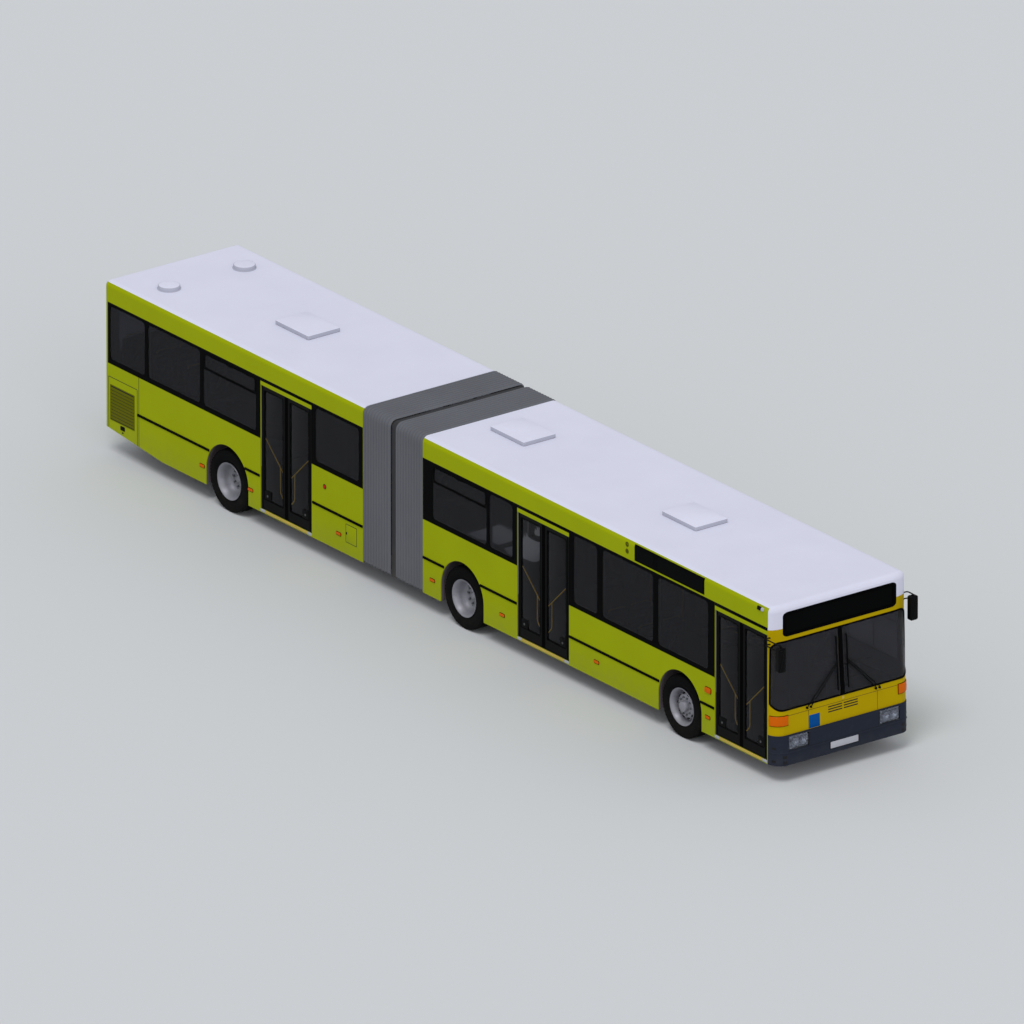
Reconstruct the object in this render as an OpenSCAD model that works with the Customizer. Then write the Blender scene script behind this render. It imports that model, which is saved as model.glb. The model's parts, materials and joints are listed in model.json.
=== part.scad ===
// Articulated city bus: a two-axle front car and a one-axle rear car, joined by a
// turntable and a folding bellows.
// Millimetres. +X is forward, +Y the driver's side, +Z up; the ground is Z = 0.
// Stations called "at" are measured rearwards from the seam where the front mask
// meets the side walls.

/* [Body] */
// Width over the side walls
body_w = 2500; // [2400:10:2600]
// Height of the roof skin above the ground
roof_z = 2767; // [2740:1:2960]
// Height of the skirt's lower edge
skirt_z = 280; // [260:1:290]
// Thickness of side walls, roof and ends
wall_t = 60; // [44:1:72]
// Radius of the roof's long edges
roof_r = 100; // [70:1:120]
// Height of the low floor's top
floor_z = 335; // [320:1:350]
// Rear end of the front car
front_end_at = 8463; // [8440:1:8900]
// Front end of the rear car
rear_start_at = 9943; // [9930:1:10020]
// Rear end of the bus
rear_end_at = 16410; // [16400:1:17400]
// Plan radius of the rear corners
rear_corner_r = 80; // [62:1:100]

/* [Front mask] */
// How far the mask's lower part stands ahead of the seam
mask_reach = 190; // [160:1:220]
// How far the mask stands ahead of the seam at the windscreen's top
brow_reach = 97; // [80:1:120]
// Plan depth of the upper corners along the width
brow_side = 300; // [240:5:360]
// How far the bumper stands ahead of the seam
bumper_reach = 218; // [195:1:250]
// Height of the bumper's upper edge
bumper_top_z = 750; // [720:1:780]
// Lower edge of the windscreen
screen_low_z = 1144; // [1100:1:1200]
// Upper edge of the windscreen
screen_high_z = 2193; // [2100:1:2220]
// Thickness of the mask and bumper shells
shell_t = 50; // [36:1:60]
// Width of the windscreen's centre post
post_w = 50; // [30:1:80]
// Half width of the destination sign
sign_half = 1010; // [800:5:1040]
// Lower edge of the destination sign
sign_low_z = 2270; // [2230:1:2300]

/* [Glass] */
// Thickness of every pane
glass_t = 8; // [5:1:12]
// Depth of a pane below the wall's outer face
glass_inset = 3; // [1:1:8]
// Gap left for a pane's seal
seal_gap = 0.3; // [0.2:0.1:0.8]
// Radius of the window corners
pane_r = 70; // [30:1:90]
// Upper edge of the side windows
pane_high_z = 2390; // [2300:1:2420]
// Lower edge of the tall side windows
tall_low_z = 1307; // [1250:1:1400]
// Lower edge of the other side windows
pane_low_z = 1530; // [1450:1:1600]

/* [Wheels] */
// Outer radius of a tyre
tyre_r = 487; // [475:1:492]
// Width of a tyre
tyre_w = 275; // [240:1:285]
// Radius of the rim's outer edge
rim_r = 290; // [275:1:300]
// Depth of the outer tyre's side below the body side
tyre_inset = 25; // [20:1:45]
// Gap between twin tyres
twin_gap = 36; // [20:1:50]
// Front axle
front_axle_at = 2140; // [2100:1:2200]
// Middle axle
middle_axle_at = 7490; // [7460:1:7520]
// Rear axle
rear_axle_at = 13330; // [13310:1:13380]
// Radius of the wheel arches
arch_r = 530; // [515:1:545]
// Height of the arches' round centre
arch_z = 537; // [520:1:550]
// Half length of a wheelhouse
house_half = 560; // [550:1:570]
// Top of a wheelhouse
house_top_z = 1090; // [1080:1:1120]
// Gap between an inner twin tyre and its wheelhouse
house_gap = 39; // [36:1:60]
// Thickness of wheelhouse plates
plate_t = 12; // [8:1:20]
// Distance of a kingpin from the centre plane
kingpin_y = 1022; // [1012:1:1032]
// Radius of a kingpin
kingpin_r = 22; // [18:1:26]
// Radius of the wheel spindles
spindle_r = 42; // [36:1:46]
// Running clearance of a bearing
bearing_gap = 0.4; // [0.3:0.1:0.8]

/* [Doors] */
// Width of a door opening
door_w = 1276; // [1200:4:1290]
// Upper edge of a door opening
door_top_z = 2318; // [2200:1:2330]
// Centre of the front door
front_door_at = 650; // [646:1:700]
// Centre of the middle door
middle_door_at = 5495; // [5430:1:5520]
// Centre of the rear door
rear_door_at = 11859; // [11800:1:11900]
// Radius of a door's turning column
column_r = 20; // [16:1:22]
// Distance of a column's axis from the door post
column_in = 30; // [28:1:40]
// Thickness of a door leaf
leaf_t = 40; // [30:1:42]
// Depth of a leaf's outer face below the wall's face
leaf_inset = 8; // [4:1:14]
// Height of the gap that holds a carrying arm
arm_gap = 28; // [26:1:36]
// Thickness of a carrying arm
arm_t = 14; // [10:1:16]

/* [Articulation] */
// Length of the middle hoop along the bus
hoop_l = 127; // [90:1:150]
// Thickness of the bellows and its hoop
bellows_t = 60; // [40:1:80]
// Radius of the floor turntable
table_r = 700; // [560:5:720]
// Radius of the turntable's pivot pin
pivot_r = 80; // [50:1:100]
// Thickness of each drawbar
drawbar_t = 44; // [34:1:48]

/* [Fittings] */
// How far the near mirror reaches ahead of the seam
mirror_reach = 440; // [400:1:560]
// Distance of the mirrors' outer edges from the centre plane
mirror_out = 1380; // [1360:1:1500]
// Width of a mirror head
mirror_w = 140; // [110:1:180]
// Height of a mirror head
mirror_h = 380; // [300:1:420]
// Length of a roof hatch along the bus
hatch_l = 830; // [700:1:900]
// Width of a roof hatch
hatch_w = 600; // [500:1:700]
// Height of a roof hatch above the roof
hatch_h = 67; // [50:1:90]
// Front edge of the first roof hatch
front_hatch_at = 3020; // [1500:10:4500]
// Front edge of the second roof hatch
middle_hatch_at = 7240; // [5500:10:7400]
// Front edge of the rear car's roof hatch
rear_hatch_at = 12580; // [10500:10:14000]
// Radius of the bore for a tow pin
tow_r = 18; // [14:1:22]

/* [Hidden] */
$fn = 48;
w = body_w / 2;
seam_x = (rear_end_at - mirror_reach) / 2;
wall_top_z = roof_z - roof_r;
house_in = w - tyre_inset - 2 * tyre_w - twin_gap - house_gap;
pivot_at = (front_end_at + rear_start_at) / 2;
side_end_at = rear_end_at - rear_corner_r;
door_ats = [front_door_at, middle_door_at, rear_door_at];
hatch_ats = [front_hatch_at, middle_hatch_at, rear_hatch_at];
in_y = w - wall_t;
step_gap = 6;

// Where the rear car's raised deck begins, and its height
deck_at = 13960;
deck_z = 900;
deck_t = 55;
slab_t = floor_z - skirt_z;
rear_skirt_z = skirt_z + 143;
rear_skirt_at = 14950;

// Side windows: front edge, rear edge, lower edge
right_front_panes = [
    [1450, 2683, tall_low_z], [2793, 4040, tall_low_z], [4160, 4743, tall_low_z],
    [6243, 6817, pane_low_z], [6883, 8217, pane_low_z]
];
left_front_panes = [
    [70, 1350, tall_low_z], [1450, 2683, tall_low_z], [2793, 4040, tall_low_z],
    [4160, 5400, pane_low_z], [5500, 6817, pane_low_z], [6883, 8217, pane_low_z]
];
right_rear_panes = [
    [10040, 11127, pane_low_z], [12600, 13917, pane_low_z],
    [14000, 15307, pane_low_z], [15383, 16260, pane_low_z]
];
left_rear_panes = [
    [10040, 11127, pane_low_z], [11227, 12490, pane_low_z], [12600, 13917, pane_low_z],
    [14000, 15307, pane_low_z], [15383, 16260, pane_low_z]
];

// Wheels: outer side of the outer tyre, and the twin tyre inside it
wheel_out = w - tyre_inset;
wheel_mid = wheel_out - tyre_w / 2;
twin_mid = wheel_mid - tyre_w - twin_gap;
rim_w = tyre_w - 30;
hub_r = 150;

// Doors: half the leaf's travel circle, from the column's axis to the leaf's pivot
leaf_h = (door_w - 2 * column_in) / 4;
leaf_y = w - leaf_inset - leaf_t / 2;
leaf_low_z = floor_z + arm_gap;
leaf_high_z = door_top_z - arm_gap;
pin_r = 10;
pin_gap = 0.5;

// Engine hatch in the rear wall, and the rear window above it
lid_half = 900;
lid_low_z = 470;
lid_high_z = 1420;
lid_gap = 6;
rear_pane_half = 1010;
rear_pane_low_z = 1560;
rear_pane_high_z = 2350;

// Hatches in the roof
rim_in = 45;
hatch_skin = 30;

// Steering wheel
steer_at = 470;
steer_y = 720;
steer_z = 1290;
steer_tilt = 28;
steer_r = 225;

// ---------- shared shapes ----------

function X(at) = seam_x - at;

// Upright rectangle with round corners, exact arcs
module rrect(x0, x1, z0, z1, r) {
    translate([x0 + r, z0]) square([x1 - x0 - 2 * r, z1 - z0]);
    translate([x0, z0 + r]) square([x1 - x0, z1 - z0 - 2 * r]);
    for (x = [x0 + r, x1 - r], z = [z0 + r, z1 - r])
        translate([x, z]) circle(r);
}

// A box given by its two corners
module block(a, b) {
    translate(a) cube(b - a);
}

// Something drawn in X and Z, made a plate between two values of Y
module plate_xz(y0, y1) {
    translate([0, y1, 0]) rotate([90, 0, 0]) linear_extrude(y1 - y0) children();
}

// Something drawn in Y and Z, made a plate between two values of X
module plate_yz(x0, x1) {
    translate([x0, 0, 0]) rotate([90, 0, 90]) linear_extrude(x1 - x0) children();
}

module copy_side() {
    children();
    mirror([0, 1, 0]) children();
}

// ---------- walls ----------

// Arch cut of one axle, in X and Z
module arch(at) {
    translate([X(at), arch_z]) circle(arch_r, $fn = 96);
    translate([X(at) - arch_r, 0]) square([2 * arch_r, arch_z]);
}

module door_hole(at) {
    translate([X(at) - door_w / 2, floor_z]) square([door_w, door_top_z - floor_z]);
}

module pane_shapes(panes, gap) {
    for (p = panes)
        rrect(X(p[1]) + gap, X(p[0]) - gap, p[2] + gap, pane_high_z - gap, pane_r - gap);
}

module front_wall(panes, doors) {
    difference() {
        translate([X(front_end_at), skirt_z]) square([front_end_at, wall_top_z - skirt_z]);
        arch(front_axle_at);
        arch(middle_axle_at);
        for (d = doors) door_hole(d);
        pane_shapes(panes, 0);
    }
}

module rear_wall_side(panes, doors) {
    difference() {
        polygon([
            [X(rear_start_at), skirt_z], [X(rear_start_at), wall_top_z],
            [X(side_end_at), wall_top_z], [X(side_end_at), rear_skirt_z],
            [X(rear_skirt_at), skirt_z]
        ]);
        arch(rear_axle_at);
        for (d = doors) door_hole(d);
        pane_shapes(panes, 0);
    }
}

module front_right_wall() {
    color("#8a9303") plate_xz(-w, -in_y) front_wall(right_front_panes, [door_ats[0], door_ats[1]]);
}

module front_left_wall() {
    color("#8a9303") plate_xz(in_y, w) front_wall(left_front_panes, []);
}

module rear_right_wall() {
    color("#8a9303") plate_xz(-w, -in_y) rear_wall_side(right_rear_panes, [door_ats[2]]);
}

module rear_left_wall() {
    color("#8a9303") plate_xz(in_y, w) rear_wall_side(left_rear_panes, []);
}

module panes_side(panes, left) {
    y = left ? w - glass_inset - glass_t : -w + glass_inset;
    plate_xz(y, y + glass_t) pane_shapes(panes, seal_gap);
}

module front_side_glass() {
    color("#222326") {
        panes_side(right_front_panes, false);
        panes_side(left_front_panes, true);
    }
}

module rear_glass() {
    color("#222326") {
        panes_side(right_rear_panes, false);
        panes_side(left_rear_panes, true);
        plate_yz(X(rear_end_at) + glass_inset, X(rear_end_at) + glass_inset + glass_t)
            rear_pane(seal_gap);
    }
}

// ---------- front mask ----------

// Plan of the mask: reach ahead of the seam, corner depth along the width, inset
function mask_plan(reach, side, inset) = let (h = w - inset, a = max(reach - inset, 1), b = side)
    concat(
        [[seam_x - 2 - inset, -h]],
        [for (i = [0:10]) let (t = i * 9) [seam_x + a * sin(t), -(h - b) - b * cos(t)]],
        [for (i = [0:10]) let (t = 90 - i * 9) [seam_x + a * sin(t), (h - b) + b * cos(t)]],
        [[seam_x - 2 - inset, h]]
    );

// Solid between rings that have the same number of points, from the lowest up
module loft(rings) {
    n = len(rings[0]);
    top = (len(rings) - 1) * n;
    polyhedron(
        points = [for (r = rings, p = r) p],
        faces = concat(
            [[for (i = [0:n - 1]) i]],
            [[for (i = [n - 1:-1:0]) top + i]],
            [for (k = [0:n:top - n], i = [0:n - 1]) [k + i, k + n + i, k + n + (i + 1) % n]],
            [for (k = [0:n:top - n], i = [0:n - 1]) [k + i, k + n + (i + 1) % n, k + (i + 1) % n]]
        )
    );
}

// How far the mask leans back between the bumper and the windscreen
screen_lean = 12;

// The mask's outside moved inwards by an inset, from one height to above its top
module mask_form(inset, low_z) {
    loft([for (level = [
        [low_z, mask_reach, mask_reach],
        [screen_low_z, mask_reach - screen_lean, mask_reach + 10],
        [screen_high_z, brow_reach, brow_side],
        [wall_top_z + (inset > 0 ? 1 : 0), brow_reach, brow_side]
    ]) [for (p = mask_plan(level[1], level[2], inset)) [p[0], p[1], level[0]]]]);
}

// The two windscreen openings, in Y and Z
module screen_shape(gap) {
    difference() {
        rrect(-w - 5 + gap, w + 5 - gap, screen_low_z + gap, screen_high_z - gap, 150 - gap);
        translate([-post_w / 2 - gap, 0]) square([post_w + 2 * gap, roof_z]);
    }
}

module sign_shape(gap) {
    rrect(-sign_half + gap, sign_half - gap, sign_low_z + gap, wall_top_z - 15 - gap, 60 - gap);
}

pillar_w = 36;

module front_mask() {
    color("#9f8603") difference() {
        mask_form(0, bumper_top_z);
        mask_form(shell_t, bumper_top_z + shell_t);
        block([seam_x - shell_t - 10, -w - 1, 0], [seam_x, w + 1, roof_z]);
        plate_yz(seam_x + pillar_w, seam_x + 400) screen_shape(0);
        plate_yz(seam_x + pillar_w, seam_x + 400) sign_shape(0);
    }
}

module windscreen() {
    color("#1f2023") intersection() {
        difference() {
            mask_form(glass_inset, bumper_top_z);
            mask_form(glass_inset + glass_t, bumper_top_z - 1);
        }
        union() {
            plate_yz(seam_x + pillar_w + 1, seam_x + 400) screen_shape(seal_gap);
            plate_yz(seam_x + pillar_w + 1, seam_x + 400) sign_shape(seal_gap);
        }
    }
}

// Lamp openings in the bumper, in Y and Z
lamp_y0 = 650;
lamp_y1 = 1025;
lamp_z0 = 512;
lamp_z1 = 737;

module lamp_shape(gap) {
    rrect(lamp_y0 + gap, lamp_y1 - gap, lamp_z0 + gap, lamp_z1 - gap, 24 - gap);
}

// Plan of the bumper, with the same round corners as the mask
module bumper_plan(inset) {
    polygon(mask_plan(bumper_reach, mask_reach, inset));
}

module front_bumper() {
    color("#20242c") {
        difference() {
            translate([0, 0, skirt_z]) linear_extrude(bumper_top_z - skirt_z) bumper_plan(0);
            translate([0, 0, skirt_z - 1]) linear_extrude(bumper_top_z) bumper_plan(shell_t);
            block([seam_x - shell_t - 10, -w - 1, 0], [seam_x, w + 1, roof_z]);
            copy_side() plate_yz(seam_x + 60, seam_x + 400) lamp_shape(0);
        }
    }
}

lamp_x0 = seam_x + 130;

module headlamps() {
    color("#c8ccd4") copy_side() intersection() {
        plate_yz(lamp_x0, seam_x + bumper_reach + 1) lamp_shape(seal_gap);
        translate([0, 0, skirt_z]) linear_extrude(bumper_top_z - skirt_z)
            bumper_plan(glass_inset);
    }
}

// ---------- roofs ----------

arc_steps = 6;

// Rings of a roof from the walls' top up, following its round edge inwards
function loaf_levels(inset) = let (r = roof_r - inset)
    [for (i = [0:arc_steps]) let (t = 90 * i / arc_steps)
        [inset + r * (1 - cos(t)), wall_top_z + r * sin(t)]];

// Roof form of the front car; the inner form starts below the walls' top
module front_loaf(inset) {
    thin = 0.01;
    hull() for (l = loaf_levels(inset))
        let (h = w - l[0], drop = l[1] > wall_top_z ? thin : (inset > 0 ? 1 : 0))
        translate([0, 0, l[1] - drop]) linear_extrude(thin)
            polygon(concat([[X(front_end_at) - inset, -h]], mask_plan(brow_reach, brow_side, l[0]),
                           [[X(front_end_at) - inset, h]]));
}

// Plan of the rear car with its round rear corners, open forwards to a value of X
function rear_plan(inset, front_x) =
    let (r = max(rear_corner_r - inset, 1), x0 = X(rear_end_at) + inset, h = w - inset)
    concat(
        [[front_x, h]],
        [for (i = [0:6]) let (t = i * 15) [x0 + r - r * sin(t), (h - r) + r * cos(t)]],
        [for (i = [0:6]) let (t = 90 - i * 15) [x0 + r - r * sin(t), -(h - r) - r * cos(t)]],
        [[front_x, -h]]
    );

module rear_loaf(inset) {
    drop = inset > 0 ? 1 : 0;
    loft([for (l = loaf_levels(inset)) let (z = l[1] - (l[1] > wall_top_z ? 0 : drop))
        [for (p = rear_plan(l[0], X(rear_start_at) + inset)) [p[0], p[1], z]]]);
}

// Hole for one hatch, and the low coaming around it
module hatch_hole(at) {
    block([X(at + hatch_l) + rim_in, -hatch_w / 2 + rim_in, wall_top_z - 100],
          [X(at) - rim_in, hatch_w / 2 - rim_in, roof_z + 200]);
}

module front_roof() {
    color("#d4d4e5") difference() {
        front_loaf(0);
        front_loaf(wall_t);
        hatch_hole(hatch_ats[0]);
        hatch_hole(hatch_ats[1]);
    }
}

module rear_roof() {
    color("#d4d4e5") difference() {
        rear_loaf(0);
        rear_loaf(wall_t);
        hatch_hole(hatch_ats[2]);
    }
}

// Lid of a roof hatch: a shallow tray that sits over the hole, hinged at its front
module roof_hatch(at) {
    color("#cfcfe0") difference() {
        block([X(at + hatch_l), -hatch_w / 2, roof_z + seal_gap],
              [X(at), hatch_w / 2, roof_z + hatch_h]);
        block([X(at + hatch_l) + rim_in, -hatch_w / 2 + rim_in, roof_z - 1],
              [X(at) - rim_in, hatch_w / 2 - rim_in, roof_z + hatch_h - hatch_skin]);
    }
}

// ---------- rear wall ----------

module rear_pane(gap) {
    rrect(-rear_pane_half + gap, rear_pane_half - gap, rear_pane_low_z + gap,
          rear_pane_high_z - gap, pane_r - gap);
}

module lid_shape(gap) {
    translate([-lid_half + gap, lid_low_z + gap])
        square([2 * (lid_half - gap), lid_high_z - lid_low_z - 2 * gap]);
}

// Hinges of the engine hatch: barrels on the lid, pins in notches of the wall
lid_t = 42;
lid_inset = 12;
barrel_l = 90;
barrel_ys = [-620, 530];
notch_end = 14;
lid_pin_r = 6;
hinge_x = X(rear_end_at) + lid_inset;
hinge_z = lid_high_z - lid_gap / 2;

module hinge_notches() {
    for (y = barrel_ys)
        block([X(rear_end_at) - 10, y - 3, lid_high_z - 10],
              [X(side_end_at) + 10, y + barrel_l + 3, lid_high_z + 22]);
}

module hinge_pins() {
    for (y = barrel_ys) translate([hinge_x, y - notch_end, hinge_z]) rotate([-90, 0, 0])
        cylinder(r = lid_pin_r, h = barrel_l + 2 * notch_end);
}

// Lugs of the wall on both sides of each barrel, which hold the pins
module hinge_lugs() {
    for (y = barrel_ys, d = [-notch_end, barrel_l + 3])
        block([X(rear_end_at) + 1, y + d, hinge_z - 10],
              [X(rear_end_at) + 24, y + d + notch_end - 3, lid_high_z + 4]);
}

module rear_wall() {
    color("#8a9303") {
        difference() {
            translate([0, 0, rear_skirt_z]) linear_extrude(wall_top_z - rear_skirt_z)
                difference() {
                    polygon(rear_plan(0, 0));
                    polygon(rear_plan(wall_t, 1));
                    translate([X(side_end_at), -w - 1]) square([rear_end_at, body_w + 2]);
                }
            plate_yz(X(rear_end_at) - 10, X(side_end_at) + 10) rear_pane(0);
            plate_yz(X(rear_end_at) - 10, X(side_end_at) + 10) lid_shape(0);
            hinge_notches();
        }
        hinge_lugs();
        hinge_pins();
    }
}

module engine_hatch() {
    color("#8a9303") difference() {
        union() {
            plate_yz(hinge_x, hinge_x + lid_t) lid_shape(lid_gap);
            for (y = barrel_ys) translate([hinge_x, y, hinge_z]) rotate([-90, 0, 0])
                cylinder(r = 11, h = barrel_l);
        }
        for (y = barrel_ys) {
            translate([hinge_x, y - 40, hinge_z]) rotate([-90, 0, 0])
                cylinder(r = lid_pin_r + bearing_gap, h = barrel_l + 80);
            // the lid's edge is cut back around the wall's lugs
            for (d = [-notch_end - 6, barrel_l])
                block([hinge_x - 20, y + d, hinge_z - 18],
                      [hinge_x + lid_t + 1, y + d + notch_end + 6, hinge_z + 20]);
        }
    }
}

// ---------- floors and frames ----------

// Cut of one pair of wheelhouses through the floor
module house_cut(at) {
    copy_side() block([X(at) - house_half, house_in, 0], [X(at) + house_half, w + 1, house_top_z]);
}

// Plates of one pair of wheelhouses
module house_plates(at) {
    copy_side() difference() {
        block([X(at) - house_half - plate_t, house_in - plate_t, floor_z - slab_t],
              [X(at) + house_half + plate_t, in_y, house_top_z + plate_t]);
        block([X(at) - house_half, house_in, 0], [X(at) + house_half, w + 1, house_top_z]);
    }
}

rail_y = 430;
rail_w = 80;
rail_low_z = 200;
drawbar_low_z = 182;

module drawbar(at0, at1, z0) {
    // tapered arm with a round eye at the pivot
    translate([0, 0, z0]) linear_extrude(drawbar_t) union() {
        translate([X(pivot_at), 0]) circle(230);
        polygon([[X(at0), -rail_y - rail_w], [X(at1), -230], [X(at1), 230], [X(at0), rail_y + rail_w]]);
    }
}

module front_underframe() {
    color("#3a3d42") difference() {
        union() {
            difference() {
                block([X(front_end_at), -in_y, floor_z - slab_t],
                      [seam_x, in_y, floor_z]);
                house_cut(front_axle_at);
                house_cut(middle_axle_at);
            }
            house_plates(front_axle_at);
            house_plates(middle_axle_at);
            // side rails, broken over the axles
            copy_side() {
                block([X(front_axle_at) + 110, rail_y, rail_low_z],
                      [seam_x + 60, rail_y + rail_w, floor_z - slab_t]);
                block([X(middle_axle_at) + 160, rail_y, rail_low_z],
                      [X(front_axle_at) - 110, rail_y + rail_w, floor_z - slab_t]);
                block([X(front_end_at), rail_y, rail_low_z],
                      [X(middle_axle_at) - 160, rail_y + rail_w, floor_z - slab_t]);
            }
            // crossbeam that carries the mask and the bumper
            block([seam_x, -in_y + 30, floor_z - slab_t],
                  [seam_x + 60, in_y - 30, floor_z]);
            // tow jaw behind the bumper
            block([seam_x + 60, -70, floor_z - slab_t], [seam_x + bumper_reach - shell_t, 70, floor_z]);
            // drawbar plate under the floor, out to the pivot
            drawbar(front_end_at - 40, pivot_at, drawbar_low_z);
            block([X(front_end_at), -rail_y - rail_w, drawbar_low_z],
                  [X(front_end_at - 140), rail_y + rail_w, floor_z - slab_t + 1]);
        }
        translate([X(pivot_at), 0, 0]) cylinder(r = pivot_r + bearing_gap, h = 600);
        translate([seam_x + 120, 0, 0]) cylinder(r = tow_r, h = 600);
    }
}

rear_bar_z = drawbar_low_z + drawbar_t + step_gap;

module rear_underframe() {
    color("#3a3d42") union() {
        difference() {
            union() {
                block([X(deck_at), -in_y, floor_z - slab_t], [X(rear_start_at), in_y, floor_z]);
                // bulkhead and raised deck over the engine
                block([X(deck_at) - deck_t, -in_y, floor_z - slab_t],
                      [X(deck_at), in_y, deck_z]);
                block([X(side_end_at), -in_y, deck_z - deck_t], [X(deck_at), in_y, deck_z]);
                block([X(rear_end_at) + wall_t, -in_y + rear_corner_r, deck_z - deck_t],
                      [X(side_end_at) + 1, in_y - rear_corner_r, deck_z]);
            }
            house_cut(rear_axle_at);
        }
        house_plates(rear_axle_at);
        copy_side() {
            block([X(rear_axle_at) + 160, rail_y, rail_low_z],
                  [X(rear_start_at) , rail_y + rail_w, floor_z - slab_t]);
            // engine cradle rails
            block([X(rear_end_at) + wall_t, rail_y, rail_low_z + 100],
                  [X(rear_axle_at) - 160, rail_y + rail_w, rail_low_z + 160]);
            block([X(deck_at) - deck_t, rail_y, rail_low_z + 100],
                  [X(deck_at), rail_y + rail_w, floor_z]);
        }
        // rear crossbeam with the tow eye
        difference() {
            block([X(rear_end_at) + wall_t, -in_y + 40, rail_low_z + 160],
                  [X(rear_end_at) + wall_t + 80, in_y - 40, rail_low_z + 260]);
            translate([X(rear_end_at) + wall_t + 40, 0, 0]) cylinder(r = tow_r, h = 900);
        }
        // drawbar over the front one, with the pivot pin through both
        drawbar(rear_start_at + 40, pivot_at, rear_bar_z);
        block([X(rear_start_at + 140), -rail_y - rail_w, rear_bar_z],
              [X(rear_start_at), rail_y + rail_w, floor_z - slab_t + 1]);
        translate([X(pivot_at), 0, drawbar_low_z]) cylinder(r = pivot_r, h = floor_z - drawbar_low_z);
    }
}

// ---------- articulation ----------

// Outline of the bellows, in Y and Z: an upside-down U
module portal(out, t) {
    difference() {
        union() {
            rrect(-out, out, skirt_z + 10, roof_z - w + out, roof_r);
            translate([-out, skirt_z + 10]) square([2 * out, roof_r]);
        }
        rrect(-out + t, out - t, -roof_r, roof_z - w + out - t, roof_r);
    }
}

module front_bellows() {
    color("#54565b") plate_yz(X(pivot_at) + hoop_l / 2 + seal_gap, X(front_end_at) - seal_gap)
        portal(w - 6, bellows_t);
}

module rear_bellows() {
    color("#54565b") plate_yz(X(rear_start_at) + seal_gap, X(pivot_at) - hoop_l / 2 - seal_gap)
        portal(w - 6, bellows_t);
}

cross_z = rear_bar_z + drawbar_t + step_gap;
cross_t = 18;
cross_w = 220;

module bellows_hoop() {
    color("#2e3033") {
        plate_yz(X(pivot_at) - hoop_l / 2, X(pivot_at) + hoop_l / 2) portal(w - 20, bellows_t - 10);
        difference() {
            block([X(pivot_at) - cross_w / 2, -w + 20, cross_z],
                  [X(pivot_at) + cross_w / 2, w - 20, cross_z + cross_t]);
            copy_side() block([X(pivot_at) - cross_w, table_r, 0], [X(pivot_at) - hoop_l / 2, w, floor_z]);
            copy_side() block([X(pivot_at) + hoop_l / 2, table_r, 0], [X(pivot_at) + cross_w, w, floor_z]);
            translate([X(pivot_at), 0, 0]) cylinder(r = pivot_r + bearing_gap, h = 600);
        }
    }
}

module turntable() {
    color("#4a4d52") translate([X(pivot_at), 0, cross_z + cross_t]) difference() {
        cylinder(r = table_r, h = floor_z - cross_z - cross_t, $fn = 96);
        translate([0, 0, -1]) cylinder(r = pivot_r + bearing_gap, h = 100);
    }
}

// ---------- axles, knuckles and wheels ----------

beam_low_z = 170;
beam_h = 80;
axle_z = tyre_r;
eye_r = 48;
eye_h = 110;

// Dropped beam of the front axle with an eye for each kingpin
module steer_beam(at) {
    block([X(at) - 55, -760, beam_low_z], [X(at) + 55, 760, beam_low_z + beam_h]);
    copy_side() {
        block([X(at) - 50, 700, beam_low_z], [X(at) + 50, 760, axle_z + 45]);
        block([X(at) - 40, 700, axle_z - 45], [X(at) + 40, kingpin_y, axle_z + 45]);
        translate([X(at), kingpin_y, axle_z - eye_h / 2]) cylinder(r = eye_r, h = eye_h);
        // air spring under the wheelhouse top
        block([X(at) - 50, 640, axle_z + 20], [X(at) + 50, 760, axle_z + 45]);
        translate([X(at), 700, axle_z + 45]) cylinder(r = 60, h = house_top_z - axle_z - 45 - seal_gap);
    }
}

// Portal axle of a driven or trailing pair of twin wheels
module portal_beam(at) {
    block([X(at) - 70, -house_in + 10, beam_low_z], [X(at) + 70, house_in - 10, beam_low_z + beam_h]);
    copy_side() {
        // spring bracket under the floor
        block([X(at) - 60, house_in - 180, beam_low_z + beam_h - 1],
              [X(at) + 60, house_in - 60, skirt_z - seal_gap]);
        block([X(at) - 70, house_in + 6, beam_low_z], [X(at) + 70, house_in + 34, axle_z + 60]);
        block([X(at) - 70, house_in - 40, beam_low_z], [X(at) + 70, house_in + 34, beam_low_z + beam_h]);
        translate([X(at), house_in + 6, axle_z]) rotate([-90, 0, 0])
            cylinder(r = spindle_r, h = wheel_out - 175 - house_in - 6);
        translate([X(at), house_in + 6, axle_z + 60]) rotate([-90, 0, 0])
            cylinder(r = 30, h = 28);
    }
}

module front_axles() {
    color("#2c2d30") {
        difference() {
            steer_beam(front_axle_at);
            copy_side() translate([X(front_axle_at), kingpin_y, 0])
                cylinder(r = kingpin_r + bearing_gap, h = 900);
        }
        portal_beam(middle_axle_at);
    }
}

module rear_axle() {
    color("#2c2d30") portal_beam(rear_axle_at);
}

ear_t = 26;
ear_gap = 6;

module knuckle() {
    z0 = axle_z - eye_h / 2 - ear_gap - ear_t;
    z1 = axle_z + eye_h / 2 + ear_gap;
    color("#37393d") translate([X(front_axle_at), 0, 0]) {
        for (z = [z0, z1]) {
            translate([0, kingpin_y, z]) cylinder(r = 40, h = ear_t);
            block([-40, kingpin_y, z], [40, kingpin_y + 80, z + ear_t]);
        }
        block([-55, kingpin_y + eye_r + 8, z0], [55, kingpin_y + 80, z1 + ear_t]);
        translate([0, kingpin_y, z0]) cylinder(r = kingpin_r, h = z1 - z0 + ear_t);
        translate([0, kingpin_y + 70, axle_z]) rotate([-90, 0, 0])
            cylinder(r = spindle_r, h = wheel_out - 12 - kingpin_y - 70);
    }
}

module left_knuckle() {
    knuckle();
}

module right_knuckle() {
    mirror([0, 1, 0]) knuckle();
}

// Ring shaped by a profile in radius and width, about the axle line
module turned() {
    rotate([-90, 0, 0]) rotate_extrude($fn = 96) children();
}

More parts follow.
